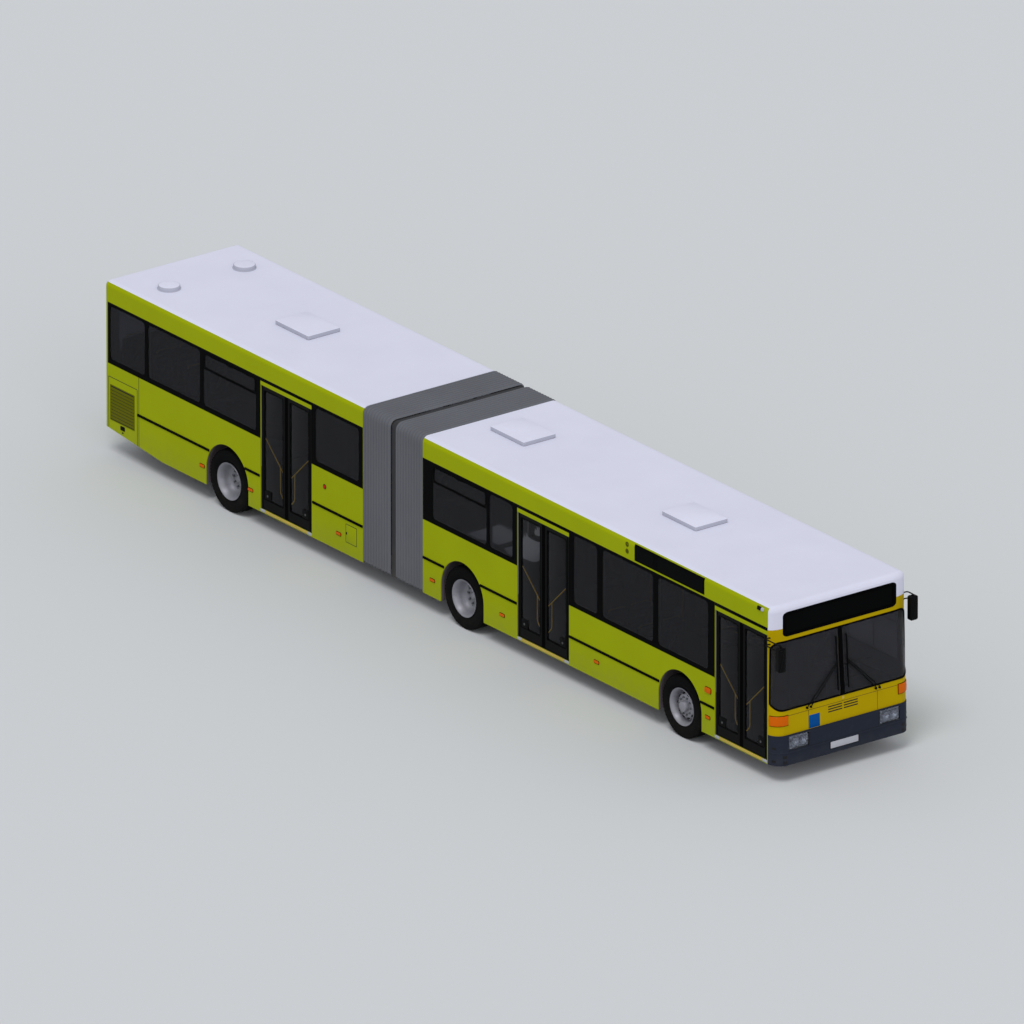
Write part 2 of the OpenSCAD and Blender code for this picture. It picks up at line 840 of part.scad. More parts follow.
shoulder_r = 34;

module tyre_profile() {
    difference() {
        rrect(rim_r - 14, tyre_r, -tyre_w / 2, tyre_w / 2, shoulder_r);
        translate([rim_r - 60, -rim_w / 2 + 14]) square([60 + 24, rim_w - 28]);
        translate([rim_r - 60, -tyre_w]) square([60, 2 * tyre_w]);
    }
}

module tyre(y) {
    translate([0, y, 0]) turned() tyre_profile();
}

barrel_t = 14;

// Rim: barrel under the tyre, lips at both sides and a disc at a given depth
module rim_profile(disc_y) {
    translate([rim_r - barrel_t, -rim_w / 2]) square([barrel_t - seal_gap, rim_w]);
    translate([rim_r - 42, -rim_w / 2]) square([42 - seal_gap, 10]);
    translate([rim_r - 42, rim_w / 2 - 10]) square([42 - seal_gap, 10]);
    translate([spindle_r + bearing_gap, disc_y - 14])
        square([rim_r - spindle_r - barrel_t / 2 - bearing_gap, 14]);
    translate([spindle_r + bearing_gap, disc_y - 40]) square([hub_r - spindle_r - bearing_gap, 40]);
}

module rim_steer(y) {
    translate([0, y, 0]) turned() rim_profile(rim_w / 2 - 6);
    // closed hub cap outside the spindle's end
    translate([0, wheel_out - 12 + seal_gap, 0]) rotate([-90, 0, 0])
        cylinder(r = 70, h = 26);
    translate([0, y, 0]) turned() translate([spindle_r + bearing_gap, rim_w / 2 - 20])
        square([hub_r * 0.75 - spindle_r, 42 + (tyre_w - rim_w) / 2]);
}

module rim_twin() {
    depth = 100;
    translate([0, wheel_mid, 0]) turned() rim_profile(rim_w / 2 - depth - 40);
    translate([0, twin_mid, 0]) turned() rim_profile(-rim_w / 2 + 100);
    // spacer drum between the two discs, and the hub cap
    translate([0, twin_mid, 0]) turned() translate([spindle_r + bearing_gap, -rim_w / 2 + 60])
        square([hub_r - 40 - spindle_r, wheel_mid - twin_mid + rim_w - depth - 120]);
    translate([0, wheel_out - 175 + seal_gap, 0]) rotate([-90, 0, 0]) cylinder(r = 108, h = 60);
}

module rim_node(at, left, twin) {
    color("#8f99a6") mirror([0, left ? 0 : 1, 0]) translate([X(at), 0, axle_z])
        if (twin) rim_twin(); else rim_steer(wheel_mid);
}

module tyre_node(at, left, twin) {
    color("#1c1c1e") mirror([0, left ? 0 : 1, 0]) translate([X(at), 0, axle_z]) {
        tyre(wheel_mid);
        if (twin) tyre(twin_mid);
    }
}

// ---------- doors ----------

// Signs along X: the fore leaf hangs on the front post, the aft leaf on the rear post
function column_x(at, fore) = X(at) + (fore ? 1 : -1) * (door_w / 2 - column_in);
function pivot_x(at, fore) = column_x(at, fore) - (fore ? 1 : -1) * leaf_h;
leaf_post_gap = 30;
leaf_mid_gap = 4;

module leaf(at, fore) {
    s = fore ? 1 : -1;
    px = pivot_x(at, fore);
    x_post = px + s * (leaf_h - leaf_post_gap);
    x_mid = px - s * (leaf_h - leaf_mid_gap);
    color("#1b1c1e") {
        difference() {
            plate_xz(-leaf_y - leaf_t / 2, -leaf_y + leaf_t / 2)
                translate([min(x_post, x_mid), leaf_low_z])
                    square([abs(x_post - x_mid), leaf_high_z - leaf_low_z]);
            // the pane is set back from both faces of the frame
            for (y = [-leaf_y - leaf_t / 2 - 1, -leaf_y + leaf_t / 2 - 15])
                plate_xz(y, y + 16)
                    rrect(min(x_post, x_mid) + 45, max(x_post, x_mid) - 45,
                          skirt_z + 227, skirt_z + 1967, 40);
        }
        for (z = [floor_z + 6, leaf_high_z])
            translate([px, -leaf_y, z]) cylinder(r = pin_r, h = arm_gap - 6);
    }
}

module column(at, fore) {
    cx = column_x(at, fore);
    px = pivot_x(at, fore);
    color("#26272a") difference() {
        union() {
            translate([cx, -leaf_y, floor_z + seal_gap])
                cylinder(r = column_r, h = door_top_z - floor_z - 2 * seal_gap);
            for (z = [floor_z + 7, door_top_z - 7 - arm_t]) {
                block([min(cx, px), -leaf_y - 18, z], [max(cx, px), -leaf_y + 18, z + arm_t]);
                translate([px, -leaf_y, z]) cylinder(r = 18, h = arm_t);
            }
        }
        for (z = [floor_z + 6, door_top_z - arm_gap])
            translate([px, -leaf_y, z]) cylinder(r = pin_r + pin_gap, h = arm_gap);
    }
}

// ---------- fittings ----------

near_mirror_z = skirt_z + 1602;
far_mirror_z = skirt_z + 1724;
far_mirror_x = seam_x + 150;
mirror_d = 90;
arm_tube_r = 10;
arm_root_x = seam_x + 18;

// Mirror head on two tubes that stand on the mask's pillar
module mirror_piece(head_x, side, low_z) {
    head_y = side * (mirror_out - mirror_w / 2);
    top = low_z + mirror_h;
    block([head_x - mirror_d / 2, head_y - mirror_w / 2, low_z],
          [head_x + mirror_d / 2, head_y + mirror_w / 2, top]);
    for (z = [top + 22, top - 80]) {
        rod([arm_root_x, side * (w - 40), z], [arm_root_x, head_y + side * arm_tube_r, z], arm_tube_r);
        rod([arm_root_x, head_y, z], [head_x, head_y, z], arm_tube_r);
    }
    rod([head_x, head_y, top - 5], [head_x, head_y, top + 22 + arm_tube_r], arm_tube_r);
    rod([arm_root_x, head_y, top - 80], [arm_root_x, head_y, top + 22], arm_tube_r);
}

module mirrors() {
    color("#0d0d0e") difference() {
        union() {
            mirror_piece(seam_x + mirror_reach - mirror_d / 2, -1, near_mirror_z);
            mirror_piece(far_mirror_x, 1, far_mirror_z);
        }
        mask_form(-seal_gap, bumper_top_z);
    }
}

blade_y = 95;
blade_low_z = skirt_z + 960;
blade_l = 830;
wiper_pivot_y = 600;
wiper_pivot_z = skirt_z + 815;
wiper_r = 8;
wiper_foot_r = 16;

// Reach of the mask ahead of the seam at a height below or on the windscreen
function screen_reach(z) = z < screen_low_z
    ? mask_reach - screen_lean * (z - bumper_top_z) / (screen_low_z - bumper_top_z)
    : mask_reach - screen_lean
        + (brow_reach - mask_reach + screen_lean) * (z - screen_low_z) / (screen_high_z - screen_low_z);

module rod(a, b, r) {
    d = b - a;
    l = norm(d);
    translate(a) rotate([0, acos(d[2] / l), atan2(d[1], d[0])]) cylinder(r = r, h = l);
}

module wiper() {
    z1 = blade_low_z + blade_l / 2;
    out = 34;
    base_x = seam_x + screen_reach(wiper_pivot_z - wiper_foot_r) + seal_gap;
    foot = [base_x + out - 8, wiper_pivot_y, wiper_pivot_z];
    head = [seam_x + screen_reach(z1) + out, blade_y, z1];
    rod(foot, head, wiper_r);
    rod(foot + [0, 70, 0], head + [0, 14, 0], wiper_r);
    for (y = [0, 70]) translate([base_x, wiper_pivot_y + y, wiper_pivot_z])
        rotate([0, 90, 0]) cylinder(r = wiper_foot_r, h = out);
    rod([seam_x + screen_reach(blade_low_z) + out, blade_y, blade_low_z],
        [seam_x + screen_reach(blade_low_z + blade_l) + out, blade_y, blade_low_z + blade_l], 9);
}

module wipers() {
    color("#101011") copy_side() wiper();
}

// Pair of moulded seats with its leg and its grab pole; the aisle is towards Y = 0
seat_w = 840;
seat_d = 430;
seat_h = 430;
back_h = 1000;
pole_r = 17;

module seat_pair(at, side, z, pole) {
    y_wall = in_y - 20;
    x0 = X(at);
    mirror([0, side > 0 ? 0 : 1, 0]) {
        for (k = [0, 1]) {
            y0 = y_wall - seat_w + k * (seat_w / 2 + 6);
            y1 = y0 + seat_w / 2 - 6;
            block([x0 - seat_d, y0, z + seat_h - 40], [x0, y1, z + seat_h]);
            block([x0 - seat_d - 10, y0, z + seat_h - 40], [x0 - seat_d + 40, y1, z + back_h]);
        }
        block([x0 - seat_d + 20, y_wall - seat_w + 20, z + seat_h - 70],
              [x0 - 60, y_wall + 20 - seal_gap, z + seat_h - 30]);
        block([x0 - seat_d + 100, y_wall - seat_w + 160, z],
              [x0 - 140, y_wall - seat_w + 220, z + seat_h - 50]);
        if (pole) translate([x0 - seat_d + 15, y_wall - seat_w + 10, z + back_h - 60])
            cylinder(r = pole_r, h = roof_z - wall_t - seal_gap - z - back_h + 60);
    }
}

seat_pitch = 780;

module front_seats() {
    color("#33456b") {
        for (i = [0:4]) seat_pair(2860 + i * seat_pitch, 1, floor_z, i % 2 == 0);
        for (i = [0:1]) seat_pair(2860 + i * seat_pitch, -1, floor_z, true);
    }
}

module rear_seats() {
    color("#33456b") {
        for (i = [0:2]) seat_pair(10020 + i * seat_pitch, 1, floor_z, i % 2 == 0);
        seat_pair(10020, -1, floor_z, true);
        for (i = [0:2], s = [-1, 1]) seat_pair(14060 + i * seat_pitch, s, deck_z, i == 0);
    }
}

cab_wall_at = 1480;

module driver_cab() {
    color("#2b2d31") {
        // platform, dashboard and partition
        block([X(1440), 260, floor_z], [X(120), in_y - seal_gap, floor_z + 230]);
        block([X(330), -300, floor_z + 230], [X(60), in_y - 60, floor_z + 700]);
        block([X(330), -300, floor_z + 1], [X(60), 320, floor_z + 300]);
        block([X(cab_wall_at), 240, floor_z], [X(cab_wall_at - 44), in_y - seal_gap, floor_z + 1500]);
        // driver's seat
        block([X(1230), steer_y - 110, floor_z + 200], [X(1000), steer_y + 110, floor_z + 560]);
        block([X(1320), steer_y - 240, floor_z + 540], [X(840), steer_y + 240, floor_z + 640]);
        block([X(1400), steer_y - 240, floor_z + 540], [X(1300), steer_y + 240, floor_z + 1300]);
        // steering column
        steer_column();
    }
}

module steer_frame() {
    translate([X(steer_at), steer_y, steer_z]) rotate([0, -steer_tilt, 0]) children();
}

module steer_column() {
    steer_frame() translate([0, 0, -420]) cylinder(r = 45, h = 380);
    steer_frame() translate([0, 0, -41]) cylinder(r = 18, h = 50);
}

module steering_wheel() {
    color("#141415") steer_frame() {
        rotate_extrude($fn = 96) translate([steer_r, 0]) circle(15);
        difference() {
            union() {
                translate([0, 0, -22]) cylinder(r = 55, h = 44);
                for (a = [0, 120, 240]) rotate([0, 0, a]) block([0, -16, -8], [steer_r, 16, 8]);
            }
            translate([0, 0, -30]) cylinder(r = 18 + bearing_gap, h = 42);
        }
    }
}

module engine() {
    color("#5c5f63") block([X(rear_end_at) + 230, -360, rail_low_z + 161],
                           [X(14500), 360, deck_z - deck_t - 40]);
    color("#5c5f63") block([X(rear_end_at) + 330, -rail_y - rail_w, rail_low_z + 160 + seal_gap],
                           [X(14700), rail_y + rail_w, rail_low_z + 240]);
}

// ---------- the nodes ----------

front_underframe();
front_right_wall();
front_left_wall();
front_roof();
front_mask();
front_bumper();
windscreen();
front_side_glass();
headlamps();
mirrors();
wipers();
front_seats();
driver_cab();
steering_wheel();
front_axles();
left_knuckle();
right_knuckle();
front_bellows();
bellows_hoop();
turntable();
rear_bellows();
rear_underframe();
rear_right_wall();
rear_left_wall();
rear_roof();
rear_wall();
engine_hatch();
rear_glass();
engine();
rear_axle();
rear_seats();
roof_hatch(hatch_ats[0]);  // front_roof_hatch
roof_hatch(hatch_ats[1]);  // middle_roof_hatch
roof_hatch(hatch_ats[2]);  // rear_roof_hatch
rim_node(front_axle_at, true, false);  // front_left_rim
rim_node(front_axle_at, false, false);  // front_right_rim
rim_node(middle_axle_at, true, true);  // middle_left_rim
rim_node(middle_axle_at, false, true);  // middle_right_rim
rim_node(rear_axle_at, true, true);  // rear_left_rim
rim_node(rear_axle_at, false, true);  // rear_right_rim
tyre_node(front_axle_at, true, false);  // front_left_tyre
tyre_node(front_axle_at, false, false);  // front_right_tyre
tyre_node(middle_axle_at, true, true);  // middle_left_tyre
tyre_node(middle_axle_at, false, true);  // middle_right_tyre
tyre_node(rear_axle_at, true, true);  // rear_left_tyre
tyre_node(rear_axle_at, false, true);  // rear_right_tyre
leaf(door_ats[0], true);  // front_door_fore_leaf
leaf(door_ats[0], false);  // front_door_aft_leaf
leaf(door_ats[1], true);  // middle_door_fore_leaf
leaf(door_ats[1], false);  // middle_door_aft_leaf
leaf(door_ats[2], true);  // rear_door_fore_leaf
leaf(door_ats[2], false);  // rear_door_aft_leaf
column(door_ats[0], true);  // front_door_fore_column
column(door_ats[0], false);  // front_door_aft_column
column(door_ats[1], true);  // middle_door_fore_column
column(door_ats[1], false);  // middle_door_aft_column
column(door_ats[2], true);  // rear_door_fore_column
column(door_ats[2], false);  // rear_door_aft_column
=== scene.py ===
import json
from math import acos, asin, ceil, copysign, cos, dist, hypot, pi, radians, sin, sqrt

import bmesh
import bpy
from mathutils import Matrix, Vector

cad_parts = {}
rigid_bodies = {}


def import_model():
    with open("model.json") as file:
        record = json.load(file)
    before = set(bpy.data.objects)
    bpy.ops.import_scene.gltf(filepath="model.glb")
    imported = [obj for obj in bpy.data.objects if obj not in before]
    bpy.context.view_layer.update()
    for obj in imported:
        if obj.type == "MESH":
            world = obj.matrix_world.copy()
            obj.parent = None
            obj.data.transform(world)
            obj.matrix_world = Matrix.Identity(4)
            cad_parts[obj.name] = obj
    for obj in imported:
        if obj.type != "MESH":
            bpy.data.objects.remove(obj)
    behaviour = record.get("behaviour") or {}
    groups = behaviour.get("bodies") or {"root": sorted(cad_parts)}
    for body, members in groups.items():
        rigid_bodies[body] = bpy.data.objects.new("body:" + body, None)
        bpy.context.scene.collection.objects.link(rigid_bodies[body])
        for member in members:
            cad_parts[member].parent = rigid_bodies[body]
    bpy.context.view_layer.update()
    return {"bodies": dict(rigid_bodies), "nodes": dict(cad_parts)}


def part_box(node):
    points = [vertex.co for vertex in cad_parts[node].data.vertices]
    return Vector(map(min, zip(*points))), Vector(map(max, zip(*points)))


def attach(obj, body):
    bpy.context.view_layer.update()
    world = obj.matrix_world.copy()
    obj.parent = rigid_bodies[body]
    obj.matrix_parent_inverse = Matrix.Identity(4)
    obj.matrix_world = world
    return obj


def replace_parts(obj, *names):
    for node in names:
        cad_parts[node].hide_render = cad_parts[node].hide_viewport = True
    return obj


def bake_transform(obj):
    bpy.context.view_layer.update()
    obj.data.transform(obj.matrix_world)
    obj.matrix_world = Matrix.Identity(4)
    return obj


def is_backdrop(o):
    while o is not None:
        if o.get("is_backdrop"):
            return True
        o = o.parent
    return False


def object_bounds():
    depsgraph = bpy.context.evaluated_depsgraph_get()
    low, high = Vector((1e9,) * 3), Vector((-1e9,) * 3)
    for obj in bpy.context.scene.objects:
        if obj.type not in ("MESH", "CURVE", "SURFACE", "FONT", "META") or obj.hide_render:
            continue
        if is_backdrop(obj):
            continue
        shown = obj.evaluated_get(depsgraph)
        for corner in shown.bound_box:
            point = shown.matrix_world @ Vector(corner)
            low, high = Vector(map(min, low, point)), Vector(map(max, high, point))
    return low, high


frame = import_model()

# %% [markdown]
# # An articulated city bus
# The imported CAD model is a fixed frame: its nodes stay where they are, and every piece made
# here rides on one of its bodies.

NODES, BODIES = frame["nodes"], frame["bodies"]

# %% [markdown]
# ## Where things are
# Bus builders measure along the side from one datum. Here it is the seam where the front mask
# meets the side walls, and `at(1.45)` is a point 1.45 m behind it. Half the body width, the
# roof height and the skirt come from the boxes of the CAD nodes, so nothing is fitted by eye.

# %% Datum, sides and roof
SEAM_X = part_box("front_mask")[0][0]
SIDE_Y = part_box("front_left_wall")[1][1]
SKIRT_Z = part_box("front_left_wall")[0][2]
WALL_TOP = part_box("front_left_wall")[1][2]
ROOF_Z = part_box("front_roof")[1][2]
REAR_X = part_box("rear_wall")[0][0]
FLOOR_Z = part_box("turntable")[1][2]


def at(back):
    return SEAM_X - back


print("seam", round(SEAM_X, 3), "side", round(SIDE_Y, 3), "roof", round(ROOF_Z, 3), "rear",
      round(REAR_X, 3))

# %% [markdown]
# ## Camera
# A very long lens flattens the perspective, so that parallel edges of the long body stay almost
# parallel. The distance follows from the lens and from the width that the frame has to show, and
# it is measured to the middle of the bus, so that neither end comes out much larger.

# %% Camera
VIEW_WIDTH, LENS, SENSOR = 15.17, 1700.0, 36.0
RIGHT = Vector((0.6, 0.8, 0.0))
UP = Vector((-0.2971, 0.2228, 0.9285))
BACK = Vector((0.7428, -0.5571, 0.3714))
TO_MIDDLE = (-3.756, 3.706, -5.9)


def linked(name, data):
    """A new object of the scene."""
    made = bpy.data.objects.new(name, data)
    bpy.context.scene.collection.objects.link(made)
    return made


target = Vector((SEAM_X, -SIDE_Y, SKIRT_Z))
target += TO_MIDDLE[0] * RIGHT + TO_MIDDLE[1] * UP + TO_MIDDLE[2] * BACK
camera = linked("camera", bpy.data.cameras.new("camera"))
camera.data.lens, camera.data.sensor_width = LENS, SENSOR
distance = VIEW_WIDTH * LENS / SENSOR
camera.location = target + BACK * distance
camera.rotation_mode = "QUATERNION"
camera.rotation_quaternion = BACK.to_track_quat("Z", "Y")
camera.data.clip_start, camera.data.clip_end = 5.0, distance + 600.0
bpy.context.scene.camera = camera
print("camera stands", round(distance), "m away")

# %% [markdown]
# ## Light and floor
# A pale room: the world lights everything softly, one broad sun gives the roof its brightness and
# the wheels their shadow, and a weaker one fills the front. The camera sees the world as a plain
# pale colour through Light Path, which changes nothing in how the bus is lit.

# %% World, suns and floor
def put(tree, kind, _links=(), **settings):
    """Adds a node; settings are its properties, and _links are (input, what goes in)."""
    node = tree.nodes.new(kind)
    for key, value in settings.items():
        setattr(node, key, value)
    for socket, source in _links:
        if isinstance(source, bpy.types.Node):
            source = source.outputs[0]
        if isinstance(source, bpy.types.NodeSocket):
            tree.links.new(source, node.inputs[socket])
        else:
            node.inputs[socket].default_value = source
    return node


def maths(tree, operation, *values, **settings):
    """A Math node whose inputs take the values in order."""
    return put(tree, "ShaderNodeMath", enumerate(values), operation=operation, **settings)


FLOOR_COLOUR, SEEN_COLOUR = (0.62, 0.63, 0.64, 1.0), (0.60, 0.635, 0.65, 1.0)
SKY_COLOUR, SKY_STRENGTH = (0.93, 0.96, 1.0, 1.0), 0.62
world = bpy.data.worlds.new("room")
bpy.context.scene.world = world
world.use_nodes = True
room = world.node_tree
room.nodes.clear()
lit = put(room, "ShaderNodeBackground", [("Color", SKY_COLOUR), ("Strength", SKY_STRENGTH)])
seen = put(room, "ShaderNodeBackground", [("Color", SEEN_COLOUR)])
rays = put(room, "ShaderNodeLightPath").outputs
seen_by = rays["Is Camera Ray"]
for ray in ("Is Glossy Ray", "Is Transmission Ray"):
    seen_by = maths(room, "MAXIMUM", seen_by, rays[ray])
mix = put(room, "ShaderNodeMixShader", [(0, seen_by), (1, lit), (2, seen)])
put(room, "ShaderNodeOutputWorld", [("Surface", mix)])


def sun(name, direction, strength, softness):
    """A sun lamp that shines along direction."""
    lamp = bpy.data.lights.new(name, "SUN")
    lamp.energy, lamp.angle = strength, radians(softness)
    lamp_object = linked(name, lamp)
    lamp_object.rotation_mode = "QUATERNION"
    lamp_object.rotation_quaternion = Vector(direction).to_track_quat("-Z", "Y")


sun("key_sun", (-0.25, 0.42, -1.0), 1.15, 25)
sun("front_fill", (-1.0, 0.35, -0.35), 0.45, 40)

floor_mesh = bpy.data.meshes.new("studio_floor")
FLOOR_REACH = 400.0
floor_corners = [(FLOOR_REACH * x, FLOOR_REACH * y, 0) for x, y in ((-1, -1), (1, -1), (1, 1), (-1, 1))]
floor_mesh.from_pydata(floor_corners, [], [(0, 1, 2, 3)])
linked("studio_floor", floor_mesh)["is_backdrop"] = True
bpy.context.scene.view_settings.view_transform = "Standard"
print("lamps and floor are in place")

# %% [markdown]
# ## Shader groups
# Paint, rubber and plastic on a vehicle in service share a few effects: the tone drifts a little
# over a large panel, road film gathers low down, a moulded surface has a fine grain, and a worn
# one has scuffs. Each effect is a node group, built once and placed in a material with its own
# values. A group puts out colours, masks and heights only, and the shader stays in the material.

# %% Helpers that build groups
FLOAT, COLOUR = "NodeSocketFloat", "NodeSocketColor"


def group(name, inputs, outputs):
    """A new shader group with named sockets, and those sockets as seen from inside."""
    tree = bpy.data.node_groups.new(name, "ShaderNodeTree")
    for label, kind, value in inputs:
        tree.interface.new_socket(name=label, in_out="INPUT", socket_type=kind).default_value = value
    for label, kind in outputs:
        tree.interface.new_socket(name=label, in_out="OUTPUT", socket_type=kind)
    return tree, tree.nodes.new("NodeGroupInput").outputs, tree.nodes.new("NodeGroupOutput").inputs


def vector_maths(tree, operation, first, second):
    """A Vector Math node; the second input of SCALE is a number."""
    links = [(0, first), ("Scale" if operation == "SCALE" else 1, second)]
    return put(tree, "ShaderNodeVectorMath", links, operation=operation)


def mixed(tree, share, first, second):
    """The colour between first and second."""
    links = [(0, share), (6, first), (7, second)]
    return put(tree, "ShaderNodeMix", links, data_type="RGBA").outputs[2]


print("group helpers are ready")

# %% [markdown]
# Tone and road film: a broad noise lightens and darkens the paint by a few hundredths, and a
# second one breaks up the film, which is thick at the skirt and gone at a chosen height.

# %% Tone and road film
tone, t_in, t_out = group("panel_tone", [
    ("Colour", COLOUR, (0.5, 0.5, 0.5, 1)), ("Roughness", FLOAT, 0.4), ("Drift", FLOAT, 0.04),
    ("Drift Scale", FLOAT, 1.2), ("Film Colour", COLOUR, (0.16, 0.14, 0.11, 1)),
    ("Film Height", FLOAT, 0.9), ("Film", FLOAT, 0.25)], [("Colour", COLOUR), ("Roughness", FLOAT)])
place = put(tone, "ShaderNodeTexCoord").outputs["Object"]
broad = put(tone, "ShaderNodeTexNoise", [("Vector", place), ("Scale", t_in["Drift Scale"]),
                                         ("Detail", 4.0)])
low = maths(tone, "SUBTRACT", 1.0, t_in["Drift"])
high = maths(tone, "ADD", 1.0, t_in["Drift"])
gain = put(tone, "ShaderNodeMapRange", [(0, broad), (1, 0.3), (2, 0.7), (3, low), (4, high)])
drifted = vector_maths(tone, "SCALE", t_in["Colour"], gain)
height = put(tone, "ShaderNodeSeparateXYZ", [(0, place)])
fade = put(tone, "ShaderNodeMapRange", [(0, height.outputs["Z"]), (1, t_in["Film Height"]), (2, 0.25),
                                        (3, 0.0), (4, 1.0)])
speckle = put(tone, "ShaderNodeTexNoise", [("Vector", place), ("Scale", 9.0), ("Detail", 7.0)])
patchy = put(tone, "ShaderNodeMapRange", [(0, speckle), (1, 0.3), (2, 0.75), (3, 0.2), (4, 1.0)])
film = maths(tone, "MULTIPLY", fade, patchy)
film = maths(tone, "MULTIPLY", film, t_in["Film"], use_clamp=True)
dirty = mixed(tone, film, drifted, t_in["Film Colour"])
rougher = maths(tone, "MULTIPLY_ADD", film, 0.5, t_in["Roughness"], use_clamp=True)
tone.links.new(dirty, t_out["Colour"])
tone.links.new(rougher.outputs[0], t_out["Roughness"])
print("panel_tone:", len(tone.nodes), "nodes")

# %% [markdown]
# Relief: one noise gives the orange peel of sprayed paint at a low depth, or the leathery grain
# of a moulding at a higher one. Scuffs are a noise stretched along the bus and cut to thin marks.

# %% Relief, scuffs, two-tone paint, flecks and lining
relief, r_in, r_out = group("fine_relief", [("Scale", FLOAT, 60.0), ("Depth", FLOAT, 1.0)],
                            [("Height", FLOAT)])
place = put(relief, "ShaderNodeTexCoord").outputs["Object"]
peel = put(relief, "ShaderNodeTexNoise", [("Vector", place), ("Scale", r_in["Scale"]), ("Detail", 3.0)])
depth = maths(relief, "MULTIPLY", peel, r_in["Depth"])
relief.links.new(depth.outputs[0], r_out["Height"])

scuff, s_in, s_out = group("scuffs", [("Scale", FLOAT, 14.0), ("Amount", FLOAT, 0.4)], [("Mask", FLOAT)])
place = put(scuff, "ShaderNodeTexCoord").outputs["Object"]
drawn = put(scuff, "ShaderNodeMapping", [("Vector", place), ("Scale", (0.15, 0.6, 1.0))])
marks = put(scuff, "ShaderNodeTexNoise", [("Vector", drawn), ("Scale", s_in["Scale"]), ("Detail", 8.0),
                                          ("Roughness", 0.7)])
cut = put(scuff, "ShaderNodeMapRange", [(0, marks), (1, 0.56), (2, 0.72), (3, 0.0), (4, s_in["Amount"])])
scuff.links.new(cut.outputs[0], s_out["Mask"])

split, p_in, p_out = group("two_tone", [("Below", COLOUR, (0, 0, 0, 1)), ("Above", COLOUR, (1, 1, 1, 1)),
                                        ("Line", FLOAT, 2.4), ("Ahead", FLOAT, 100.0)],
                           [("Colour", COLOUR)])
place = put(split, "ShaderNodeTexCoord").outputs["Object"]
height = put(split, "ShaderNodeSeparateXYZ", [(0, place)])
over = maths(split, "GREATER_THAN", height.outputs["Z"], p_in["Line"])
ahead = maths(split, "GREATER_THAN", height.outputs["X"], p_in["Ahead"])
either = maths(split, "MAXIMUM", over, ahead)
two = mixed(split, either, p_in["Below"], p_in["Above"])
split.links.new(two, p_out["Colour"])

fleck, f_in, f_out = group("flecks", [("Ground", COLOUR, (0, 0, 0.1, 1)), ("Fleck", COLOUR, (1, 1, 0, 1)),
                                      ("Scale", FLOAT, 160.0), ("Share", FLOAT, 0.2)], [("Colour", COLOUR)])
place = put(fleck, "ShaderNodeTexCoord").outputs["Object"]
cells = put(fleck, "ShaderNodeTexVoronoi", [("Vector", place), ("Scale", f_in["Scale"])])
value = put(fleck, "ShaderNodeSeparateColor", [(0, cells.outputs["Color"])])
chosen = maths(fleck, "LESS_THAN", value, f_in["Share"])
dotted = mixed(fleck, chosen, f_in["Ground"], f_in["Fleck"])
fleck.links.new(dotted, f_out["Colour"])

lined, l_in, l_out = group("lined_inside", [("Colour", COLOUR, (0, 0, 0, 1)),
                                            ("Lining", COLOUR, (1, 1, 1, 1)), ("Half Width", FLOAT, 1.2),
                                            ("Top", FLOAT, 100.0), ("Rear", FLOAT, -8.4),
                                            ("Front", FLOAT, 8.0),
                                            ("Dark", COLOUR, (0.11, 0.095, 0.10, 1)),
                                            ("Dark Below", FLOAT, 1.0)], [("Colour", COLOUR)])
place = put(lined, "ShaderNodeTexCoord").outputs["Object"]
spot = put(lined, "ShaderNodeSeparateXYZ", [(0, place)])
across = maths(lined, "ABSOLUTE", spot.outputs["Y"])
within = maths(lined, "LESS_THAN", across, l_in["Half Width"])
under = maths(lined, "LESS_THAN", spot.outputs["Z"], l_in["Top"])
before = maths(lined, "GREATER_THAN", spot.outputs["X"], l_in["Rear"])
behind = maths(lined, "LESS_THAN", spot.outputs["X"], l_in["Front"])
is_in = within
for test in (under, before, behind):
    is_in = maths(lined, "MULTIPLY", is_in, test)
# Inner faces below Dark Below, the cut edges of the wheel arches among them, take the Dark grey: painted
# shade of the arches.
lower = maths(lined, "LESS_THAN", spot.outputs["Z"], l_in["Dark Below"])
cloth = mixed(lined, lower, l_in["Lining"], l_in["Dark"])
inner = mixed(lined, is_in, l_in["Colour"], cloth)
lined.links.new(inner, l_out["Colour"])
print("groups:", [g.name for g in (tone, relief, scuff, split, fleck, lined)])

# %% [markdown]
# ## Finishes
# One recipe covers every painted, moulded or rubber surface. The values that are the same all
# over a surface, such as the specular level, go on the shader's own sockets, and the groups feed
# colour, roughness and the bump.

# %% The recipe for a finish
def linear(*rgb):
    """Shader colour from the 0 to 255 numbers of a colour chart."""
    return tuple((c / 255 / 12.92) if c <= 10.3 else ((c / 255 + 0.055) / 1.055) ** 2.4
                 for c in rgb) + (1.0,)


